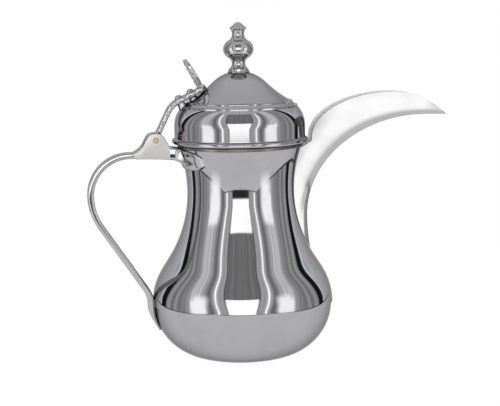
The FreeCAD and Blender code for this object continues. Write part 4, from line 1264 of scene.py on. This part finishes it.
# Light tent seen by the metal: brightness by degrees from the lens, the same on both sides
TENT_WALLS = (
    (0, 0.18),
    (16, 0.20),
    (20, 0.46),
    (26, 0.56),
    (32, 0.46),
    (36, 0.24),
    (42, 0.30),
    (50, 0.55),
    (58, 0.72),
    (66, 0.66),
    (72, 0.42),
    (80, 0.29),
    (112, 0.33),
    (114, 0.01),
    (123, 0.01),
    (125, 0.86),
    (180, 0.98),
)
BACK_START = 124
BACK_TINT = (0.93, 0.96, 1.04)
CEILING_GREY = 0.50
BELOW_GREY = 0.62
STREAK_SCALE = 26.0
TENT_LEAN = 0.85
TENT_GLOW = 1.68

# Panels in the tent: degrees from the lens, degrees up, softness of the edges in degrees, brightness
TENT_PANELS = (
    ((127, 190), (20, 90), 3, CEILING_GREY),
    ((-1, 190), (63, 100), 3, CEILING_GREY),
    ((-1, 190), (-100, -32), 4, BELOW_GREY),
    ((46, 67), (-9, 13), 3, 1.25),
    ((17.6, 18.8), (22, 62), 0.5, 0.05),
    ((28, 30.2), (-12, 60), 0.8, 1.6),
    ((-1, 17), (-6, 23), 0.7, 1.5),
    ((-1, 17), (-30, -7), 0.7, 0.03),
)

# White backdrop: degrees from the lens, degrees up
BACKDROP_TURN = (126, 190)
BACKDROP_LIFT = (-30, 20)
BACKDROP_SOFT = 2

# Two soft cards near the pot, one to each side of the view
CARD_TURN = 51.0
CARD_AWAY = 310.0
CARD_HALF = (78.0, 95.0)
CARD_LIFT = 4.0
CARD_CORE = 0.25
CARD_GLOW = 2.2


def rising(tree, value, low, high):
    """Mask that climbs smoothly from 0 to 1."""
    return mapped(tree, value, interpolation_type="SMOOTHSTEP", From_Min=low, From_Max=high)


def falling(tree, value, low, high):
    """Mask that drops smoothly from 1 to 0."""
    return mapped(
        tree, value, interpolation_type="SMOOTHSTEP", From_Min=low, From_Max=high, To_Min=1.0, To_Max=0.0
    )


def panel_mask(tree, angles, turned, raised, soft):
    """Mask of a panel of the tent, between limits from the lens and up, with soft edges."""
    sides = []
    for angle, (low, high) in zip(angles, (turned, raised)):
        rise = rising(tree, angle, low - soft, low + soft)
        fall = falling(tree, angle, high - soft, high + soft)
        sides.append(maths(tree, "MULTIPLY", rise, fall))
    return maths(tree, "MULTIPLY", *sides)


def tent_angles(tree):
    """Degrees from the lens, the same on both sides and drawn in overhead, and degrees up."""
    place = node(tree, "ShaderNodeTexCoord").outputs["Generated"]
    turn = node(tree, "ShaderNodeMapping", Vector=place, Rotation=(0, 0, -math.radians(VIEW_TURN)))
    across, along, up = node(tree, "ShaderNodeSeparateXYZ", Vector=turn.outputs["Vector"]).outputs
    lean = maths(tree, "MULTIPLY_ADD", maths(tree, "MAXIMUM", up, 0.0), -TENT_LEAN, -1.0)
    azimuth = maths(tree, "ARCTAN2", across, maths(tree, "MULTIPLY", lean, along))
    aside = maths(tree, "ABSOLUTE", maths(tree, "DEGREES", azimuth))
    return aside, maths(tree, "DEGREES", maths(tree, "ARCSINE", up))


def tent_walls(tree, aside):
    """Brightness round the tent, with upright streaks."""
    half_turn = maths(tree, "DIVIDE", aside, 180.0)
    walls = node(tree, "ShaderNodeValToRGB", Fac=half_turn)
    stops = walls.color_ramp.elements
    for index, (angle, level) in enumerate(TENT_WALLS):
        stop = stops[index] if index < 2 else stops.new(angle / 180)
        stop.position = angle / 180
        tint = BACK_TINT if angle > BACK_START else (1.0, 1.0, 1.0)
        stop.color = (level * tint[0], level * tint[1], level * tint[2], 1)
    streaks = node(
        tree, "ShaderNodeTexNoise", noise_dimensions="1D", W=half_turn, Scale=STREAK_SCALE, Detail=1.5
    )
    streaked = node(
        tree,
        "ShaderNodeMix",
        data_type="RGBA",
        blend_type="MULTIPLY",
        Factor=1.0,
        A=walls.outputs["Color"],
        B=mapped(tree, streaks.outputs["Fac"], From_Min=0.3, From_Max=0.7, To_Min=0.7, To_Max=1.3),
    )
    return streaked.outputs["Result"]


def add_tent():
    """World: white to the camera, and to the rest a light tent, with white behind the pot in the metal."""
    world = bpy.data.worlds.new("light_tent")
    bpy.context.scene.world = world
    world.use_nodes = True
    tree = world.node_tree
    angles = tent_angles(tree)
    level = tent_walls(tree, angles[0])
    for turned, raised, soft, strength in TENT_PANELS:
        panel = panel_mask(tree, angles, turned, raised, soft)
        level = mixed(tree, "RGBA", panel, level, (strength, strength, strength, 1))
    tent = tree.nodes["Background"]
    fill(tree, tent.inputs["Color"], level)
    fill(tree, tent.inputs["Strength"], TENT_GLOW)
    plain = node(tree, "ShaderNodeBackground", Color=(1, 1, 1, 1))
    behind = panel_mask(tree, angles, BACKDROP_TURN, BACKDROP_LIFT, BACKDROP_SOFT)
    mirrored = maths(tree, "MULTIPLY", in_metal_or_glass(tree), behind)
    seen = maths(tree, "MAXIMUM", from_camera(tree), mirrored)
    show_mix(tree, seen, tent.outputs["Background"], plain.outputs["Background"], "World Output")


def card_material():
    """Glow that fades out towards the card's edges."""
    material, tree = new_material("soft_card")
    tree.nodes.remove(tree.nodes["Principled BSDF"])
    place = node(tree, "ShaderNodeTexCoord").outputs["Object"]
    parts = node(tree, "ShaderNodeSeparateXYZ", Vector=place)
    fades = []
    for axis, half in zip("XY", CARD_HALF):
        away = maths(tree, "ABSOLUTE", parts.outputs[axis])
        fades.append(falling(tree, away, CARD_CORE * half * MM, half * MM))
    glow = node(tree, "ShaderNodeEmission", Strength=CARD_GLOW)
    clear = node(tree, "ShaderNodeBsdfTransparent")
    share = maths(tree, "MULTIPLY", *fades)
    show_mix(tree, share, clear.outputs["BSDF"], glow.outputs["Emission"], "Material Output")
    return material


def add_cards():
    """Soft cards on both sides of the view, close enough to fill the flat of the spout."""
    material = card_material()
    height = CARD_HALF[1] + CARD_LIFT
    for side in (-1, 1):
        card = placed("soft_card", oblong(*CARD_HALF), material)
        angle = math.radians(VIEW_TURN + side * CARD_TURN)
        spot = Vector((CARD_AWAY * math.sin(angle), -CARD_AWAY * math.cos(angle), height)) * MM
        facing = Vector((-spot.x, -spot.y, 0)).to_track_quat("Z", "Y").to_matrix().to_4x4()
        card.matrix_world = Matrix.Translation(spot) @ facing
        card.visible_camera = False


build_bowl()
build_neck()
build_lid()
build_finial()
build_spout()
build_handle()
build_saddle()
build_bracket()
build_strap()
build_lever()
finish_nodes()
add_camera()
add_floor()
add_border()
add_tent()
add_cards()
bpy.context.scene.view_settings.view_transform = "Standard"
